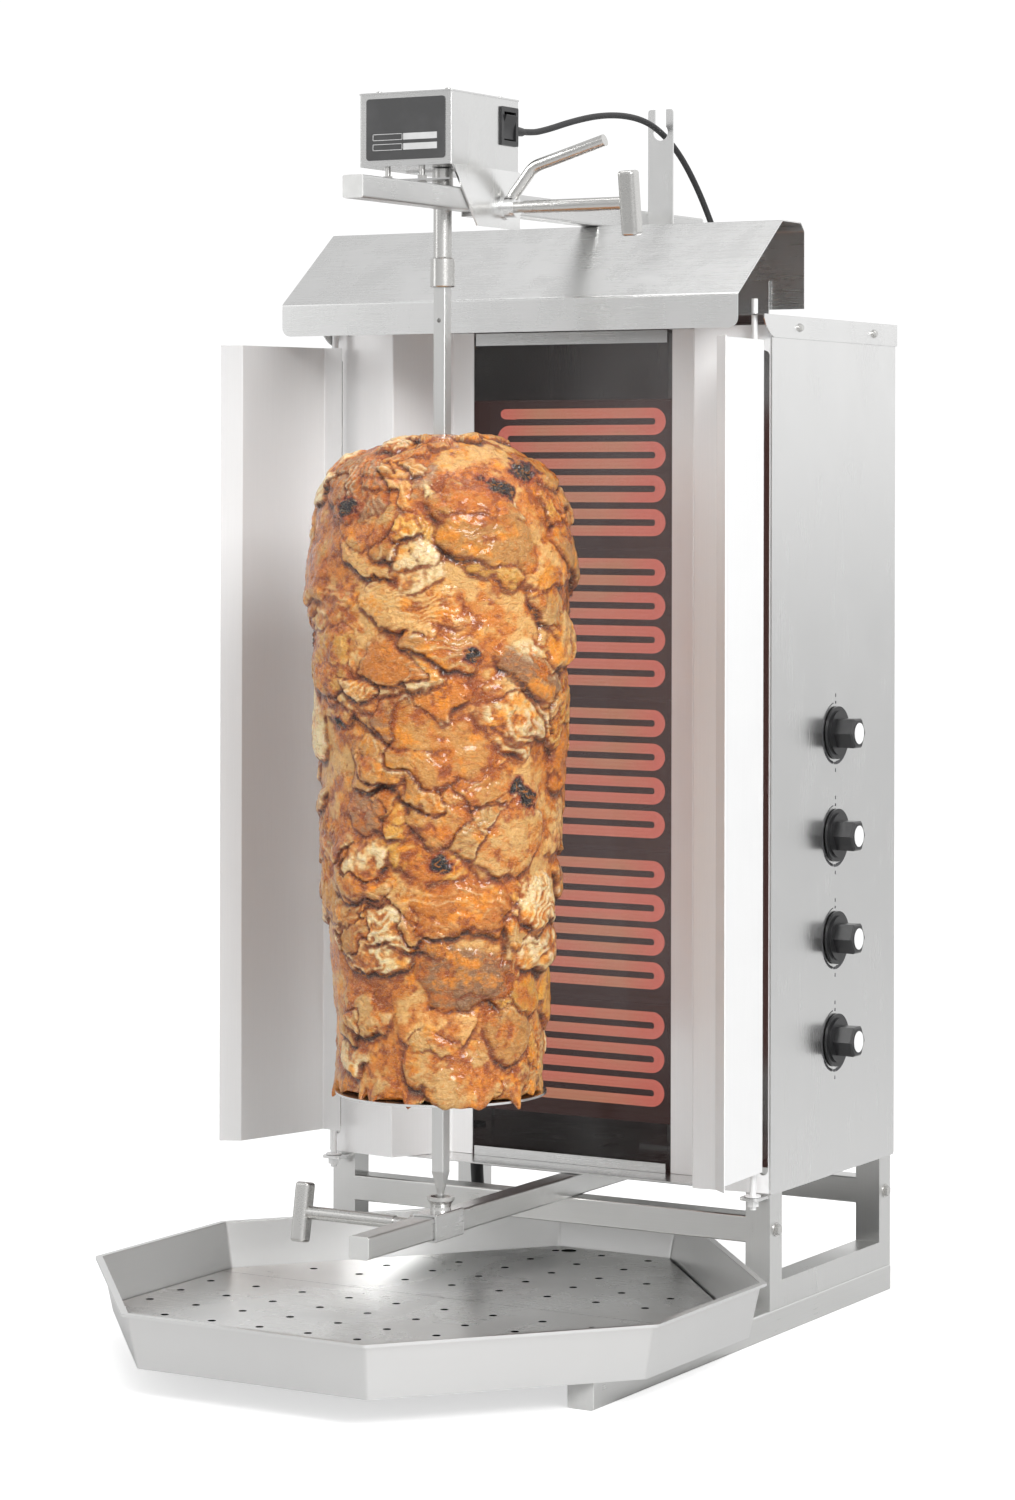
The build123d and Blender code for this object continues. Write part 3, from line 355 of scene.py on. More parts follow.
frame_y = brushed("tube_long_grain", (0.70, 0.70, 0.69), ALONG_Y, 0.30, fine=900.0)
frame_x = brushed("tube_cross_grain", (0.70, 0.70, 0.69), ALONG_X, 0.30, fine=900.0)
frame_z = brushed("tube_upright_grain", (0.70, 0.70, 0.69), ALONG_Z, 0.30, fine=900.0)
turned = brushed("turned_steel", (0.60, 0.595, 0.58), (1, 1, 6), 0.26, fine=500.0)


def plastic(name, colour, rough, grain=0.00003, scale=2600.0):
    """Moulded plastic, rubber or a rough casting, paler and duller where it is worn."""
    made = Surface(name, colour, rough)
    fine = made.noise(scale, detail=2.0)
    wear = made.noise(45.0, detail=4.0)
    worn = tuple(min(1, 1.5 * c + 0.012) for c in colour)
    made.colour(made.mix(made.grey(wear, 0.0, 0.35, 0.45, 0.75), colour, worn))
    made.roughness(made.grey(wear, rough - 0.05, rough + 0.08, 0.3, 0.7))
    made.bump((fine, grain))
    return made.material


black_plastic = plastic("black_plastic", (0.018, 0.018, 0.019), 0.36)
cap_plastic = plastic("cap_plastic", (0.60, 0.60, 0.59), 0.5)
cord_rubber = plastic("cord_rubber", (0.016, 0.016, 0.017), 0.48, scale=1800.0)
plug_red = plastic("plug_red", (0.42, 0.02, 0.012), 0.4)
insulation, pan_painted_glow = (plastic(name, (0.035, 0.028, 0.028), 0.85, grain=0.0003, scale=500.0)
                       for name in ("insulation", "pan_painted_glow"))
# painted light: the heater pans glow a faint dull red of their own, though they are no lamp
pan_shader = pan_painted_glow.node_tree.nodes["Principled BSDF"]
pan_shader.inputs["Emission Color"].default_value = (0.085, 0.040, 0.036, 1)
pan_shader.inputs["Emission Strength"].default_value = 1.0
plate_black = plastic("plate_black", (0.055, 0.055, 0.056), 0.36)
casting = plastic("casting", (0.30, 0.30, 0.31), 0.55, grain=0.0002, scale=700.0)


def heater_glass():
    """Dark glass ceramic under a faint film, which shows most towards its upper right."""
    made = Surface("heater_glass", (0.012, 0.012, 0.012), 0.05)
    made.set("Alpha", 0.40)
    made.set("IOR", 1.38)
    cloud = made.noise(5.0, detail=3.0)
    right = made.grey(made.axis("X"), 0.0, 1.0, MID_X - 0.11, MID_X + 0.10)
    high = made.grey(made.axis("Z"), 0.0, 1.0, 0.20, 0.34)
    film = made.maths("MULTIPLY", made.maths("MULTIPLY", right, high), made.grey(cloud, 0.85, 1.1, 0.3, 0.7))
    made.colour(made.mix(film, (0.010, 0.010, 0.010), (0.19, 0.19, 0.195)))
    made.roughness(made.grey(cloud, 0.03, 0.08, 0.35, 0.7))
    return made.material


def glowing_element():
    """Hot ribbon rods: a dull pink-brown glow, sandy in patches, with two deeper lines along the front."""
    made = Surface("glowing_element", (0.16, 0.06, 0.05), 0.8)
    patch = made.noise(9.0, (1, 1, 3), detail=3.0)
    fine = made.noise(320.0, detail=2.0)
    aside = made.maths("ABSOLUTE", made.maths("SUBTRACT", made.axis("X"), MID_X), 0)
    ends = made.grey(aside, 0.0, 1.0, 0.045, 0.085)
    glow = made.mix(made.grey(patch, 0, 1, 0.38, 0.62), (0.60, 0.18, 0.125), (0.50, 0.22, 0.13))
    glow = made.mix(ends, glow, (0.62, 0.150, 0.115))
    line = made.ramp(made.facing((0, -1, 0)), [(0.0, (0, 0, 0)), (0.885, (0, 0, 0)), (0.93, (1, 1, 1)),
                                               (0.965, (0.2, 0.2, 0.2)), (1.0, (0.1, 0.1, 0.1))])
    glow = made.mix(made.maths("MULTIPLY", line, 0.5), glow, (0.40, 0.085, 0.065))
    glow = made.mix(made.grey(fine, 0, 0.25), glow, (0.40, 0.14, 0.10))
    made.link(glow, made.shader.inputs["Emission Color"])
    made.set("Emission Strength", 2.2)
    return made.material


def upward(made):
    """1 on faces that look straight up, 0 on upright and lower faces."""
    return made.grey(made.facing((0, 0, 1)), 0.0, 1.0, 0.7, 0.95)


def tray_steel():
    """Brushed tray steel whose floor, under the perforated inserts, is painted near-black as shade."""
    base = (0.74, 0.74, 0.735)
    made = Surface("tray_steel", base, 0.30, metallic=0.9)
    lines = made.noise(1300.0, ALONG_X, detail=2.0)
    clouds = made.noise(9.0, detail=4.0)
    steel = made.mix(made.maths("MULTIPLY", clouds, 0.35), base, (0.60, 0.60, 0.59))
    # painted shade: faces that look up, low in the tray under the inserts, are near-black
    low = made.grey(made.axis("Z"), 1.0, 0.0, 0.0285, 0.0295)
    floor = made.maths("MULTIPLY", low, upward(made))
    made.colour(made.mix(floor, steel, (0.02, 0.016, 0.013)))
    made.roughness(made.grey(lines, 0.27, 0.34))
    made.bump((lines, 0.000004))
    return made.material


def grid_steel():
    """Perforated inserts: satin steel with a few thin brown films of fat, and painted shade: near-black on
    every face that does not look up, as inside the holes.
    """
    made = Surface("grid_steel", (0.62, 0.62, 0.61), 0.30, metallic=1.0)
    lines = made.noise(1300.0, ALONG_X, detail=2.0)
    clouds = made.noise(8.0, detail=4.0, distortion=0.5)
    film = made.noise(11.0, (1, 0.8, 1), detail=5.0, rough=0.62, distortion=0.9)
    steel = made.mix(made.grey(clouds, 0.0, 0.5, 0.35, 0.7), (0.82, 0.82, 0.81), (0.66, 0.66, 0.65))
    steel = made.mix(made.grey(film, 0.0, 0.10, 0.62, 0.76), steel, (0.56, 0.50, 0.42))
    # painted shade: every face that does not look up is near-black, inside the holes too
    made.colour(made.mix(upward(made), (0.012, 0.010, 0.009), steel))
    made.roughness(made.maths("ADD", made.grey(lines, -0.02, 0.02), made.grey(film, 0.27, 0.33, 0.45, 0.75)))
    made.bump((lines, 0.000004))
    return made.material


def knob_plastic():
    """Satin black moulding with a bright metal disc let into its end."""
    made = Surface("knob_plastic", (0.016, 0.016, 0.017), 0.30)
    fine = made.noise(2600.0, detail=2.0)
    disc = made.grey(made.axis("X"), 0.0, 1.0, KNOB_OUT - 0.0005, KNOB_OUT - 0.0003)
    made.colour(made.mix(disc, (0.016, 0.016, 0.017), (0.82, 0.82, 0.82)))
    made.roughness(made.grey(fine, 0.26, 0.36))
    made.bump((fine, 0.00002))
    return made.material


glass = heater_glass()
element = glowing_element()

LOOKS = {
    "skids": frame_y, "side_frames": frame_z, "crossbars": frame_x, "lower_arm": frame_y,
    "upper_arm": arm_steel, "rear_mast": frame_z, "tube_end_caps": cap_plastic, "frame_bolts": turned,
    "left_side_panel": steel_z, "right_side_panel": steel_z, "back_panel": steel_z,
    "bottom_panel": steel_x, "top_lid": steel_y, "lid_screws": turned, "left_reflector": bright,
    "right_reflector": bright, "glass_ledge": steel_x, "glass_pane": glass, "heater_pans": pan_painted_glow,
    "heating_elements": element, "regulators": black_plastic, "hood": hood_steel,
    "hood_brackets": steel_z, "cable_fork": steel_z, "motor_box": box_steel, "motor_box_lid": box_steel,
    "motor_lid_screws": turned, "name_plate": plate_black, "gear_motor": casting,
    "deflector_plate": arm_steel, "deflector_studs": turned, "upper_saddle": steel_z,
    "carriage_handle": turned, "upper_clamp_screw": turned, "switch_bezel": black_plastic,
    "switch_rocker": black_plastic, "motor_cord_gland": cord_rubber, "lid_cord_gland": cord_rubber,
    "drive_tube": turned, "lock_collar": turned, "spit_bar": frame_z, "meat_plate": steel_x,
    "meat_stack": insulation, "lower_saddle": steel_y, "bearing_cup": turned,
    "lower_clamp_screw": turned, "hinge_brackets": steel_x, "left_shield": satin, "right_shield": satin,
    "drip_tray": tray_steel(), "drip_grids": grid_steel(), "motor_cord": cord_rubber,
    "mains_gland": black_plastic, "mains_cord": cord_rubber, "mains_coil": cord_rubber,
    "mains_plug": plug_red,
}
knob_look = knob_plastic()
for number in range(1, 5):
    LOOKS[f"knob_{number}"] = knob_look


def dress(node, material):
    """Gives a CAD node one material and changes nothing else."""
    mesh = nodes[node].data
    mesh.materials.clear()
    mesh.materials.append(material)


for node_name, look in LOOKS.items():
    dress(node_name, look)
nodes["heating_elements"].visible_diffuse = False
nodes["heating_elements"].visible_glossy = False


# ---- cords ----

# in millimetres
MM = 0.001
MOTOR_ROUTE = [(49.5, -28.1, 1107), (49.5, 10.9, 1107), (52.5, 39.9, 1113), (57, 75.9, 1123), (62, 118.9, 1132),
               (66.5, 161.9, 1135.5), (70, 199.9, 1132.5), (72.5, 231.9, 1121.5), (76.5, 258.9, 1102.5),
               (81, 283.9, 1074), (85, 305.9, 1041), (87.5, 324.9, 1009), (88, 341.9, 980), (88, 341.9, 944)]
LEAD_ROUTE = [(-191, 323.9, 134), (-191, 323.9, 82), (-184, 322.9, 47), (-164, 319.9, 20), (-135, 314.9, 7.5),
              (-100, 306.8, 6.5)]
TAIL_ROUTE = [(-104, 459.2, 20.5), (-122.5, 455.1, 22), (-141, 449.1, 23), (-160, 441.9, 23)]
COIL_X, COIL_Y = -74.0, 381.9
COIL_INNER, COIL_OUTER = 67.2, 80.3
MOTOR_CORD_WIDE = 6.0
MAINS_CORD_WIDE = 13.0


def eased(value, start, stop):
    """0 before start, 1 after stop, and smooth between them."""
    part = min(1.0, max(0.0, (value - start) / (stop - start)))
    return part * part * (3 - 2 * part)


def coil_points():
    """Turns of the put-away mains lead: outside and inside on the floor, then inside and outside on top."""
    low, high = MAINS_CORD_WIDE / 2, MAINS_CORD_WIDE * 1.5
    first, last = math.radians(-109.1), math.radians(111.2 + 3 * 360)
    per_turn = 16
    count = round((last - first) / (2 * math.pi) * per_turn)
    points = []
    for number in range(1, count):
        turn = number / per_turn
        angle = first + (last - first) * number / count
        # the lead steps inwards near the end of turn 1, up in turn 2, and outwards in turn 3
        inwards = eased(turn, 0.82, 1.0) - eased(turn, 2.52, 2.72)
        radius = COIL_OUTER - (COIL_OUTER - COIL_INNER) * inwards
        level = low + (high - low) * eased(turn, 1.66, 1.86)
        points.append((COIL_X + radius * math.cos(angle), COIL_Y + radius * math.sin(angle), level))
    return points


def route_curve(name, points, wide):
    """A smooth line through a route of control points, given in millimetres."""
    data = bpy.data.curves.new(name, "CURVE")
    data.dimensions = "3D"
    spline = data.splines.new("NURBS")
    spline.points.add(len(points) - 1)
    for slot, point in zip(spline.points, points):
        slot.co = (*(MM * c for c in point), 1)
    spline.order_u = 3
    spline.use_endpoint_u = True
    data.resolution_u = 8
    data.bevel_depth = MM * wide / 2
    data.bevel_resolution = 5
    data.use_fill_caps = True
    return add(name, data)


def line_points(line):
    """Points along a curve that has no bevel."""
    depth = line.data.bevel_depth
    line.data.bevel_depth = 0
    bpy.context.view_layer.update()
    mesh = bpy.data.meshes.new_from_object(line.evaluated_get(bpy.context.evaluated_depsgraph_get()))
    points = [tuple(vertex.co) for vertex in mesh.vertices]
    bpy.data.meshes.remove(mesh)
    line.data.bevel_depth = depth
    return points


def motor_cord():
    """The motor's lead: a round cord along one fixed route from the motor box to the notch that holds it."""
    guide = route_curve("motor_lead_line", MOTOR_ROUTE, MOTOR_CORD_WIDE)
    points = line_points(guide)
    tube = bpy.data.meshes.new_from_object(guide.evaluated_get(bpy.context.evaluated_depsgraph_get()))
    bpy.data.objects.remove(guide)
    cord = add("motor_lead", tube)
    for face in tube.polygons:
        face.use_smooth = True
    tube.materials.clear()
    tube.materials.append(cord_rubber)
    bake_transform(cord)
    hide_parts("motor_cord")


def finished(name, build, body, material):
    """Turns a bmesh into a dressed piece that rides on a body."""
    bmesh.ops.recalc_face_normals(build, faces=build.faces)
    mesh = bpy.data.meshes.new(name)
    build.to_mesh(mesh)
    build.free()
    mesh.materials.append(material)
    piece = add(name, mesh)
    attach(piece, body)
    return piece


def coil_tie():
    """A strap round the bundle of turns, with rounded corners."""
    build = bmesh.new()
    middle_r = 73.5
    half, wide, thick, corner = 14.2, 9.0, 1.1, 5.0
    ring = []
    for quarter in range(4):
        for part in range(6):
            turn = math.radians(90 * quarter + 18 * part)
            ox = half - corner if quarter in (0, 3) else corner - half
            oz = half - corner if quarter in (0, 1) else corner - half
            ring.append((ox, oz, math.cos(turn), math.sin(turn)))
    loops = []
    for across in (-wide, wide):
        for out in (0.0, thick):
            loop = []
            for ox, oz, cx, cz in ring:
                r = middle_r + ox + (corner + out) * cx
                z = max(0.25, MAINS_CORD_WIDE + oz + (corner + out) * cz)
                loop.append(build.verts.new((MM * (COIL_X + r), MM * (COIL_Y + across), MM * z)))
            loops.append(loop)
    for a, b in ((0, 1), (1, 3), (3, 2), (2, 0)):
        for i in range(len(ring)):
            j = (i + 1) % len(ring)
            build.faces.new((loops[a][i], loops[a][j], loops[b][j], loops[b][i]))
    return finished("coil_tie", build, "cabinet", black_plastic)


def mains_cord():
    """The mains lead: out of the cabinet's underside into a tied coil on the floor, and on to its plug."""
    points = LEAD_ROUTE + coil_points() + TAIL_ROUTE
    cord = route_curve("mains_lead", points, MAINS_CORD_WIDE)
    cord.data.materials.append(cord_rubber)
    along = line_points(cord)
    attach(cord, "cabinet")
    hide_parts("mains_cord", "mains_coil")
    coil_tie()


motor_cord()
mains_cord()


# ---- the stack of meat: overlapping slices painted into a height field round the spit ----

SEED = 41
AROUND = 640            # points round the stack
UP = 660                # points along its outline, from the underside to the top
GIRTH = 0.690           # metres round the stack at its mean radius
RISE = 0.83             # metres along its outline, nearly
PITCH = 0.00125         # metres from one point to the next, nearly
SLICES = 270
RAGS = 19               # tips that hang over the plate's edge
RAG_SPREAD = 5.0        # points above and below the lower rim that hang down with them
UNDERSIDE = 0.2455      # height below which the stack is kept flat, for its plate
# radius and height, from the middle of the underside round the rim and up to the spit
OUTLINE = [(0.010, 0.2440), (0.050, 0.2435), (0.082, 0.2430), (0.0900, 0.2435), (0.0945, 0.2500),
           (0.0965, 0.300), (0.1005, 0.360), (0.1055, 0.430), (0.1110, 0.510), (0.1155, 0.590),
           (0.1190, 0.660), (0.1200, 0.715), (0.1165, 0.757), (0.1060, 0.786), (0.0880, 0.806),
           (0.0640, 0.819), (0.0380, 0.826), (0.0090, 0.829)]


def outline_points():
    """The stack's outline as evenly spaced radii and heights, and its length in metres."""
    corners = np.array(OUTLINE)
    knots = np.concatenate([[0], np.cumsum(np.hypot(*np.diff(corners, axis=0).T))])
    along = np.linspace(0, knots[-1], UP)
    radius = np.interp(along, knots, corners[:, 0])
    height = np.interp(along, knots, corners[:, 1])
    kernel = np.hanning(15) / np.hanning(15).sum()
    smooth = [np.convolve(np.pad(line, 7, mode="edge"), kernel, "valid") for line in (radius, height)]
    return smooth[0], smooth[1], knots[-1]


def lattice(random, rows, columns):
    """Smooth noise between -1 and 1 on the whole grid, closed round the stack."""
    coarse = random.uniform(-1, 1, (rows + 3, columns))
    v = np.linspace(0, rows, UP, endpoint=False)
    u = np.linspace(0, columns, AROUND, endpoint=False)
    iv, iu = v.astype(int), u.astype(int)
    fv, fu = (part * part * (3 - 2 * part) for part in (v - iv, u - iu))
    fv, fu = fv[:, None], fu[None, :]
    right = (iu + 1) % columns
    low = coarse[iv][:, iu] * (1 - fu) + coarse[iv][:, right] * fu
    high = coarse[iv + 1][:, iu] * (1 - fu) + coarse[iv + 1][:, right] * fu
    return low * (1 - fv) + high * fv


def octaves(random, size, count=3, fade=0.55):
    """Sums lattices: the first has cells of that size in metres, each next one of half that size."""
    total = np.zeros((UP, AROUND))
    weight = 1.0
    for _ in range(count):
        total += weight * lattice(random, max(2, int(RISE / size)), max(3, int(GIRTH / size)))
        size, weight = size / 2.03, weight * fade
    return total / 1.4


def blurred(field, reach):
    """A box blur over that many points each way, closed round the stack."""
    wide = np.pad(field, ((0, 0), (reach, reach)), mode="wrap").cumsum(axis=1)
    span = 2 * reach
    rows = (wide[:, span:] - wide[:, :-span]) / span
    tall = np.pad(rows, ((reach, reach), (0, 0)), mode="edge").cumsum(axis=0)
    return (tall[span:] - tall[:-span]) / span


def paint_slices(random, length):
    """Lays slices like shingles, from the bottom up, each with a thick lower lip over the ones below.

    Gives the height in metres and, for each point, its slice's number, its place from the slice's middle (0)
    to its edge (1), and its folds (0 in a valley, 1 on a crest).
    """
    u = np.arange(AROUND) / AROUND * GIRTH
    v = np.arange(UP) / UP * length
    height = 0.002 * octaves(random, 0.03)
    owner = np.zeros((UP, AROUND), int)
    rim = np.zeros((UP, AROUND))
    folds = np.full((UP, AROUND), 0.5)
    warp_u = 0.010 * octaves(random, 0.050) + 0.0036 * octaves(random, 0.013)
    warp_v = 0.009 * octaves(random, 0.045) + 0.0034 * octaves(random, 0.012)
    swirl = 2.2 * octaves(random, 0.026, 2)
    for number in range(1, SLICES + 1):
        middle_u = random.uniform(0, GIRTH)
        middle_v = (number + random.normal(0, 24)) / SLICES * length
        half_wide = random.uniform(0.021, 0.052)
        half_tall = half_wide * random.uniform(0.42, 0.80)
        lean = math.radians(random.normal(-14, 24))
        reach = half_wide * 1.6
        rows = np.where(np.abs(v - middle_v) < reach)[0]
        away = (u - middle_u + GIRTH / 2) % GIRTH - GIRTH / 2
        columns = np.where(np.abs(away) < reach)[0]
        if len(rows) == 0:
            continue
        window = np.ix_(rows, columns)
        du = away[columns][None, :] + warp_u[window]
        dv = (v[rows] - middle_v)[:, None] + warp_v[window]
        x = (du * math.cos(lean) + dv * math.sin(lean)) / half_wide
        y = (dv * math.cos(lean) - du * math.sin(lean)) / half_tall
        turn = np.arctan2(y, x)
        edge = np.ones_like(turn)
        for lobes in (2, 3, 4, 5, 7):
            edge += random.uniform(0.03, 0.15) / lobes ** 0.35 * np.cos(lobes * turn + random.uniform(0, 6.28))
        place = np.hypot(x, y) / edge
        inside = place < 1
        thick = random.uniform(0.0034, 0.0084)
        lip = 0.35 + 0.65 * np.clip(0.5 - 0.6 * y, 0, 1)
        slab = thick * lip * np.clip(1 - np.clip(place, 0, 1) ** 5, 0, 1) ** 0.6
        spacing = random.uniform(0.006, 0.0125)
        strength = random.choice([0.25, 0.6, 1.0, 1.5], p=[0.22, 0.3, 0.28, 0.20])
        direction = lean + math.radians(random.normal(0, 28))
        across = dv * math.cos(direction) - du * math.sin(direction)
        phase = math.pi * (across + 0.8 * warp_v[window]) / spacing + swirl[window]
        crest = 1 - np.abs(np.sin(phase)) ** 1.4
        under = height[window]
        fresh = 0.50 * under + slab + 0.0011 * strength * crest * np.clip(1.3 - place, 0, 1)
        height[window] = np.where(inside, fresh, under)
        owner[window] = np.where(inside, number, owner[window])
        rim[window] = np.where(inside, place, rim[window])
        folds[window] = np.where(inside, 0.5 + (crest - 0.5) * min(1.0, strength), folds[window])
    return height, owner, rim, folds


def mixed(base, colour, amount):
    """Colours moved towards one colour by an amount for each point."""
    amount = np.clip(amount, 0, 1)[..., None]
    return base * (1 - amount) + np.array(colour) * amount


def step(value, low, high):
    """The same as eased, for a whole array."""
    part = np.clip((value - low) / (high - low), 0, 1)
    return part * part * (3 - 2 * part)


# burnt spots: turn round the stack in degrees, height along the outline from 0 to 1, and size in metres
SPOTS = [(-32, 0.845, 0.0120), (-39, 0.862, 0.0060), (-9, 0.868, 0.0130), (-17, 0.470, 0.0085),
         (-23, 0.485, 0.0060), (-60, 0.395, 0.0075), (-107, 0.815, 0.0085), (-112, 0.560, 0.0070),
         (-46, 0.640, 0.0055), (40, 0.700, 0.0100), (75, 0.520, 0.0080), (130, 0.780, 0.0110),
         (165, 0.430, 0.0090), (-150, 0.660, 0.0080)]


def charred_spots(small, tiny):
    """How burnt each point is: ragged glossy spots, most of them on the upper half."""
    char = np.zeros((UP, AROUND))
    around = np.arange(AROUND)[None, :] / AROUND * 360
    along = np.arange(UP)[:, None] / UP
    for turn, place, size in SPOTS:
        du = ((around - turn + 180) % 360 - 180) / 360 * GIRTH
        dv = (along - place) * RISE
        spot = np.hypot(du * 0.85, dv) / size + 0.7 * small + 0.45 * tiny
        char = np.maximum(char, 1 - step(spot, 0.45, 1.9))
    return char


def shaded(height):
    """How much lies over each point nearby: 0 in the open, more under a lip and in a gap."""
    total = np.zeros_like(height)
    looks = ((2, 0, 1.5), (4, 0, 1.4), (7, 0, 1.0), (11, 0, 0.6), (3, 3, 0.8), (3, -3, 0.8),
             (0, 3, 0.6), (0, -3, 0.6), (-3, 0, 0.5), (0, 7, 0.4), (0, -7, 0.4))
    for rows, columns, weight in looks:
        beyond = np.roll(np.roll(height, -rows, axis=0), -columns, axis=1)
        if rows > 0:
            beyond[-rows:] = height[-rows:]
        run = PITCH * math.hypot(rows, columns)
        total += weight * np.clip((beyond - height) / run - 0.08, 0, 1.6)
    return total


def meat_colours(random, height, owner, rim, folds):
    """Linear colours, a wetness and a char for each point.

    Each slice has a ground colour of its own. Thin layers over it follow the folds, the edges and the noises;
    among them are painted highlights on crests and ridges, and painted shade in valleys, hollows, under lips
    and in gaps.
    """
    kinds = np.array([(0.76, 0.41, 0.150), (0.88, 0.60, 0.30), (0.66, 0.31, 0.088), (0.78, 0.38, 0.075),
                      (0.44, 0.21, 0.092), (0.68, 0.24, 0.030)])
    chosen = random.choice(len(kinds), owner.max() + 1, p=[0.26, 0.24, 0.18, 0.14, 0.09, 0.09])
    level = random.uniform(0.85, 1.10, owner.max() + 1)
    colour = kinds[chosen[owner]] * level[owner][..., None]
    colour = np.stack([blurred(colour[..., band], 3) for band in range(3)], axis=-1)
    wide = octaves(random, 0.060, 3)
    small = octaves(random, 0.022, 4, 0.60)
    tiny = octaves(random, 0.007, 3, 0.6)
    other = octaves(random, 0.016, 4, 0.6)
    near = height - blurred(height, 3)
    # broad: how far each point lies below its surroundings, which drives painted shade in hollows
    broad = height - blurred(height, 9)
    valley = 1 - folds
    # painted shade: how much overhangs each point, used to darken under lips and in gaps
    over = blurred(shaded(height), 1)
    crust_and_hollow_shade = small + 0.5 * wide + 0.3 * valley - 300 * broad
    layers = (
        ((0.90, 0.66, 0.38), 0.42 * step(folds, 0.50, 0.95) * step(other, -0.4, 0.6)),              # crests: painted highlight, pale on the fold crests
        ((0.50, 0.19, 0.035), 0.62 * step(valley, 0.40, 0.95) * step(small, -0.7, 0.4)),            # valleys: glaze colour and painted shade along the fold valleys
        ((0.66, 0.20, 0.010), 0.82 * step(crust_and_hollow_shade, -0.05, 0.65)),                                     # crust, with painted shade in broad hollows
        ((0.86, 0.31, 0.008), 0.80 * step(other - 0.4 * wide, 0.15, 0.85)),                         # fat
        ((0.36, 0.085, 0.008), 0.78 * step(tiny + 0.9 * small - 300 * broad, 0.15, 1.00)),          # dark crust, deepened as painted shade in broad hollows
        ((0.46, 0.115, 0.010), 0.65 * step(rim, 0.80, 1.0) * step(small + 0.3 * tiny, -0.4, 0.6)),  # rims
        ((0.95, 0.78, 0.52), 0.45 * step(near, 0.00030, 0.0012) * step(-small, -0.4, 0.5)),         # ridges: painted highlight, pale where a point stands above its neighbours
        ((0.30, 0.075, 0.008), 0.85 * step(over, 0.25, 1.3)),                                       # under lips: painted shadow
        ((0.085, 0.021, 0.008), 0.90 * step(over, 1.5, 4.0)))                                       # gaps: painted shade, near black
    for tone, amount in layers:
        colour = mixed(colour, tone, amount)
    middle = np.array((0.55, 0.24, 0.080))
    colour = middle * (colour / middle) ** (1.35, 1.40, 1.45) * (0.91, 0.86, 0.70)
    colour = np.minimum(colour, colour[..., :1] * (1.0, 0.74, 0.50))
    char = charred_spots(small, tiny)
    colour = mixed(colour, (0.42, 0.070, 0.006), 0.80 * step(char, 0.05, 0.35))
    colour = mixed(colour, (0.11, 0.007, 0.005), 0.94 * step(char, 0.35, 0.62))
    colour = mixed(colour, (0.012, 0.006, 0.007), step(char, 0.66, 0.9))
    wet = np.clip(0.5 + 0.45 * small + 0.6 * char + 0.25 * valley, 0, 1)
    return np.clip(colour, 0.004, 0.95), wet, char


def hanging_rags(random, radius, level):
    """How far the lower rim hangs down at each point: pointed tips and small lobes over the plate's edge."""
    around = np.arange(AROUND) / AROUND * 2 * math.pi
    hang = np.zeros(AROUND)
    for number in range(RAGS):
        middle = (number + random.uniform(-0.42, 0.42)) / RAGS * 2 * math.pi
        away = (around - middle + math.pi) % (2 * math.pi) - math.pi
        wide = random.uniform(0.07, 0.26)
        skew = away / wide + 0.35 * np.sin(away / wide * 2.2 + number)
        hang = np.maximum(hang, random.uniform(0.003, 0.014) * np.clip(1 - np.abs(skew), 0, 1) ** 0.8)
    hang += 0.0015 * lattice(random, 2, 60)[0]
    rim_row = int(np.argmax((radius > 0.0925) & (level < 0.27)))
    rows = np.arange(UP)
    weight = np.exp(-((rows - rim_row) / RAG_SPREAD) ** 2)
    return weight[:, None] * hang[None, :]


def build_meat():
    """The stack as one closed-round grid of points that turns with the spit."""
    random = np.random.default_rng(SEED)
    radius, level, length = outline_points()
    height, owner, rim, folds = paint_slices(random, length)
    colour, wet, char = meat_colours(random, height, owner, rim, folds)
    tiny = octaves(random, 0.0045, 3, 0.7)
    bulk = 0.0050 * octaves(random, 0.16, 2)
    relief = height - height.mean() + bulk + 0.0004 * tiny + 0.0018 * char * (tiny + 0.6)
    slope = np.gradient(radius), np.gradient(level)
    norm = np.hypot(*slope)
    out_r, out_z = slope[1] / norm, -slope[0] / norm
    calm = step(radius, 0.015, 0.05) * np.where(level < UNDERSIDE, 0.25, 1.0)
    relief = relief * calm[:, None]
    around = np.arange(AROUND) / AROUND * 2 * math.pi
    oval = 1 + 0.012 * np.cos(2 * around + 0.6) + 0.008 * np.cos(3 * around + 2.0)
    hang = hanging_rags(random, radius, level)
    reach = radius[:, None] * oval[None, :] + relief * out_r[:, None] + 0.35 * hang
    rise = level[:, None] + relief * out_z[:, None] - hang
    points = np.stack([SPIT_X + reach * np.cos(around), SPIT_Y + reach * np.sin(around), rise], axis=-1)
    mesh = bpy.data.meshes.new("meat")
    index = np.arange(UP * AROUND).reshape(UP, AROUND)
    after = np.roll(index, -1, axis=1)
    quads = np.stack([index[:-1], after[:-1], after[1:], index[1:]], axis=-1).reshape(-1, 4)
    mesh.vertices.add(UP * AROUND)
    mesh.vertices.foreach_set("co", points.reshape(-1))
    mesh.loops.add(quads.size)
    mesh.loops.foreach_set("vertex_index", quads.reshape(-1))
    mesh.polygons.add(len(quads))
    mesh.polygons.foreach_set("loop_start", np.arange(0, quads.size, 4))
    mesh.polygons.foreach_set("use_smooth", np.ones(len(quads), bool))
    mesh.update()
    mesh.validate()
    tint = mesh.color_attributes.new("slice_colour", "FLOAT_COLOR", "POINT")
    rgba = np.ones((UP, AROUND, 4))
    rgba[..., :3] = colour
    tint.data.foreach_set("color", rgba.reshape(-1))
    sheen = mesh.attributes.new("wetness", "FLOAT", "POINT")
    sheen.data.foreach_set("value", wet.reshape(-1))
    mesh.materials.append(meat_look())
    meat = add("meat", mesh)
    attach(meat, "spit")
    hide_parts("meat_stack")


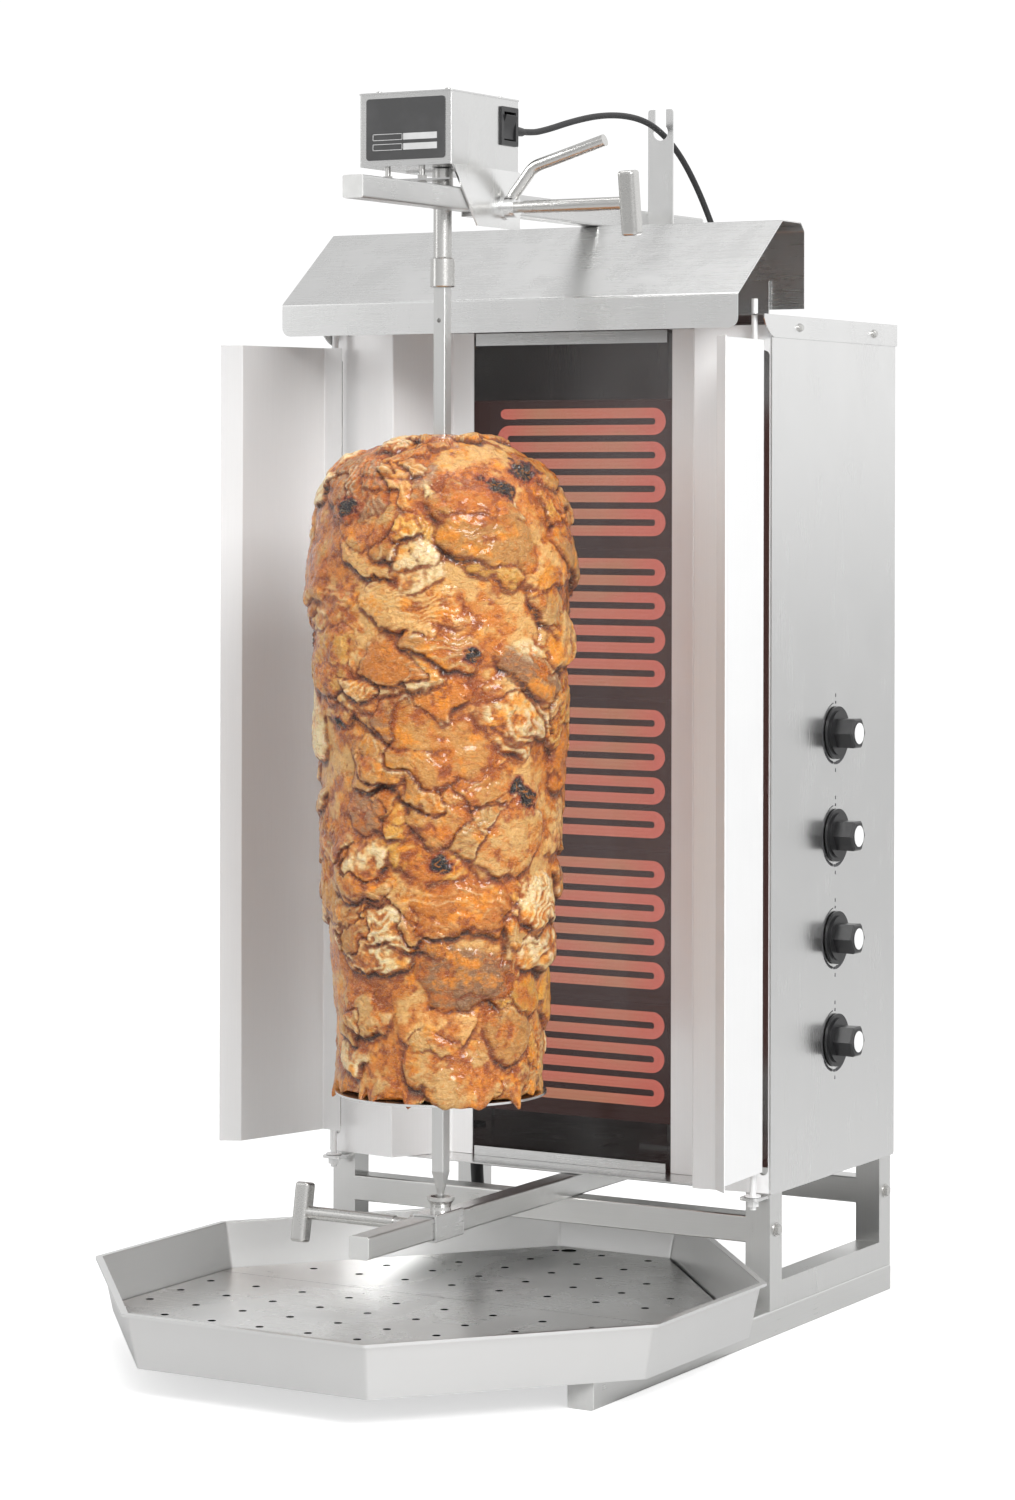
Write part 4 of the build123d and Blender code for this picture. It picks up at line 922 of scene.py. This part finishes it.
def meat_look():
    """The painted colours, broken up by fine grain and glaze, under a thin wet coat."""
    made = Surface("roast_meat", (0.5, 0.25, 0.1), 0.45)
    painted = made.node("Attribute", attribute_name="slice_colour").outputs["Color"]
    wet = made.node("Attribute", attribute_name="wetness").outputs["Fac"]
    patch = made.noise(95.0, (1, 1, 1.6), detail=3.0, rough=0.55, distortion=1.6)
    grain = made.noise(260.0, (1, 1, 2.2), detail=3.0, rough=0.6, distortion=1.8)
    fine = made.noise(800.0, (1, 1, 1.4), detail=2.0, rough=0.6)
    pale = made.mix(made.grey(grain, 0.0, 0.34, 0.54, 0.74), painted, (0.95, 0.76, 0.48))
    tan = made.mix(made.grey(grain, 0.45, 0.0, 0.32, 0.48), pale, (0.70, 0.42, 0.20), "MULTIPLY")
    glaze = made.mix(made.grey(patch, 0.0, 0.60, 0.54, 0.68), tan, (0.66, 0.200, 0.012))
    made.colour(made.mix(made.grey(patch, 0.45, 0.0, 0.30, 0.45), glaze, (0.62, 0.36, 0.18), "MULTIPLY"))
    dry = made.grey(wet, 0.50, 0.24)
    made.roughness(made.maths("ADD", dry, made.grey(fine, -0.08, 0.08, 0.3, 0.7)))
    made.set("Specular IOR Level", 0.45)
    made.set("Subsurface Weight", 0.10)
    made.set("Subsurface Radius", (0.9, 0.35, 0.12))
    made.set("Subsurface Scale", 0.003)
    made.set("Coat Weight", 0.55)
    made.set("Coat Roughness", 0.11)
    made.bump((patch, 0.0036), (grain, 0.0012), (fine, 0.00022))
    return made.material


build_meat()


# ---- printed marks and the rating plate ----

def flat_piece(name, body, material, outlines):
    """Thin flat shapes: each outline is a loop of points, given a thickness along a direction."""
    build = bmesh.new()
    for points, push in outlines:
        near = [build.verts.new(point) for point in points]
        far = [build.verts.new(Vector(point) + Vector(push)) for point in points]
        build.faces.new(near)
        build.faces.new(list(reversed(far)))
        for i in range(len(near)):
            j = (i + 1) % len(near)
            build.faces.new((near[i], far[i], far[j], near[j]))
    finished(name, build, body, material)


PRINT = 0.00025         # thickness of printed marks
print_ink = plastic("print_ink", (0.05, 0.05, 0.055), 0.5)
print_light = plastic("print_light", (0.58, 0.58, 0.58), 0.45)


def ring_part(y, z, inner, outer, start, stop, inner_stop=None):
    """A band of a ring on the side panel between two angles in degrees, 0 towards the rear and 90 up.

    Its inner radius can change along the way, to inner_stop.
    """
    count = max(4, int(abs(stop - start) / 5))
    last = inner if inner_stop is None else inner_stop
    x = PANEL_HIGH.x
    far, near = [], []
    for i in range(count + 1):
        angle = math.radians(start + (stop - start) * i / count)
        radius = inner + (last - inner) * i / count
        far.append((x, y + outer * math.cos(angle), z + outer * math.sin(angle)))
        near.append((x, y + radius * math.cos(angle), z + radius * math.sin(angle)))
    return far + near[::-1], (PRINT, 0, 0)


def dial_prints():
    """Round each knob: a thin circle, a wedge that grows along the bottom, and short marks above and below."""
    thin, wedges = [], []
    for number in range(1, 5):
        low, high = (Vector(corner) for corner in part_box(f"knob_{number}"))
        y, z = (low.y + high.y) / 2, (low.z + high.z) / 2
        thin.append(ring_part(y, z, 0.0282, 0.0290, 100, 262))
        wedges.append(ring_part(y, z, 0.0282, 0.0300, 215, 258, 0.0272))
        wedges.append(ring_part(y, z, 0.0268, 0.0302, 274, 330, 0.0292))
        for angle, half in ((90, 1.6), (265, 1.6), (270, 1.6)):
            wedges.append(ring_part(y, z, 0.0275, 0.0300, angle - half, angle + half))
        for angle in (90, 270):
            wedges.append(ring_part(y, z, 0.0338, 0.0372, angle - 0.7, angle + 0.7))
    flat_piece("dial_circles", "cabinet", print_ink, thin)
    flat_piece("dial_wedges", "cabinet", print_ink, wedges)


def plate_prints():
    """The rating plate's blank fields: two framed dark boxes, each beside a pale one."""
    y = PLATE_LOW.y

    def bar(x0, x1, z0, z1):
        return [(x0, y, z0), (x1, y, z0), (x1, y, z1), (x0, y, z1)], (0, -PRINT, 0)

    left, right = PLATE_LOW.x + 0.007, PLATE_HIGH.x - 0.008
    middle = left + 0.031
    line = 0.0005
    pale = []
    for low in (PLATE_LOW.z + 0.0085, PLATE_LOW.z + 0.0175):
        high = low + 0.0058
        pale.append(bar(middle + 0.001, right, low, high))
        pale.append(bar(left, middle, high - line, high))
        pale.append(bar(left, middle, low, low + line))
        pale.append(bar(left, left + line, low, high))
        pale.append(bar(middle - line, middle, low, high))
    flat_piece("plate_fields", "motor_carriage", print_light, pale)


dial_prints()
plate_prints()
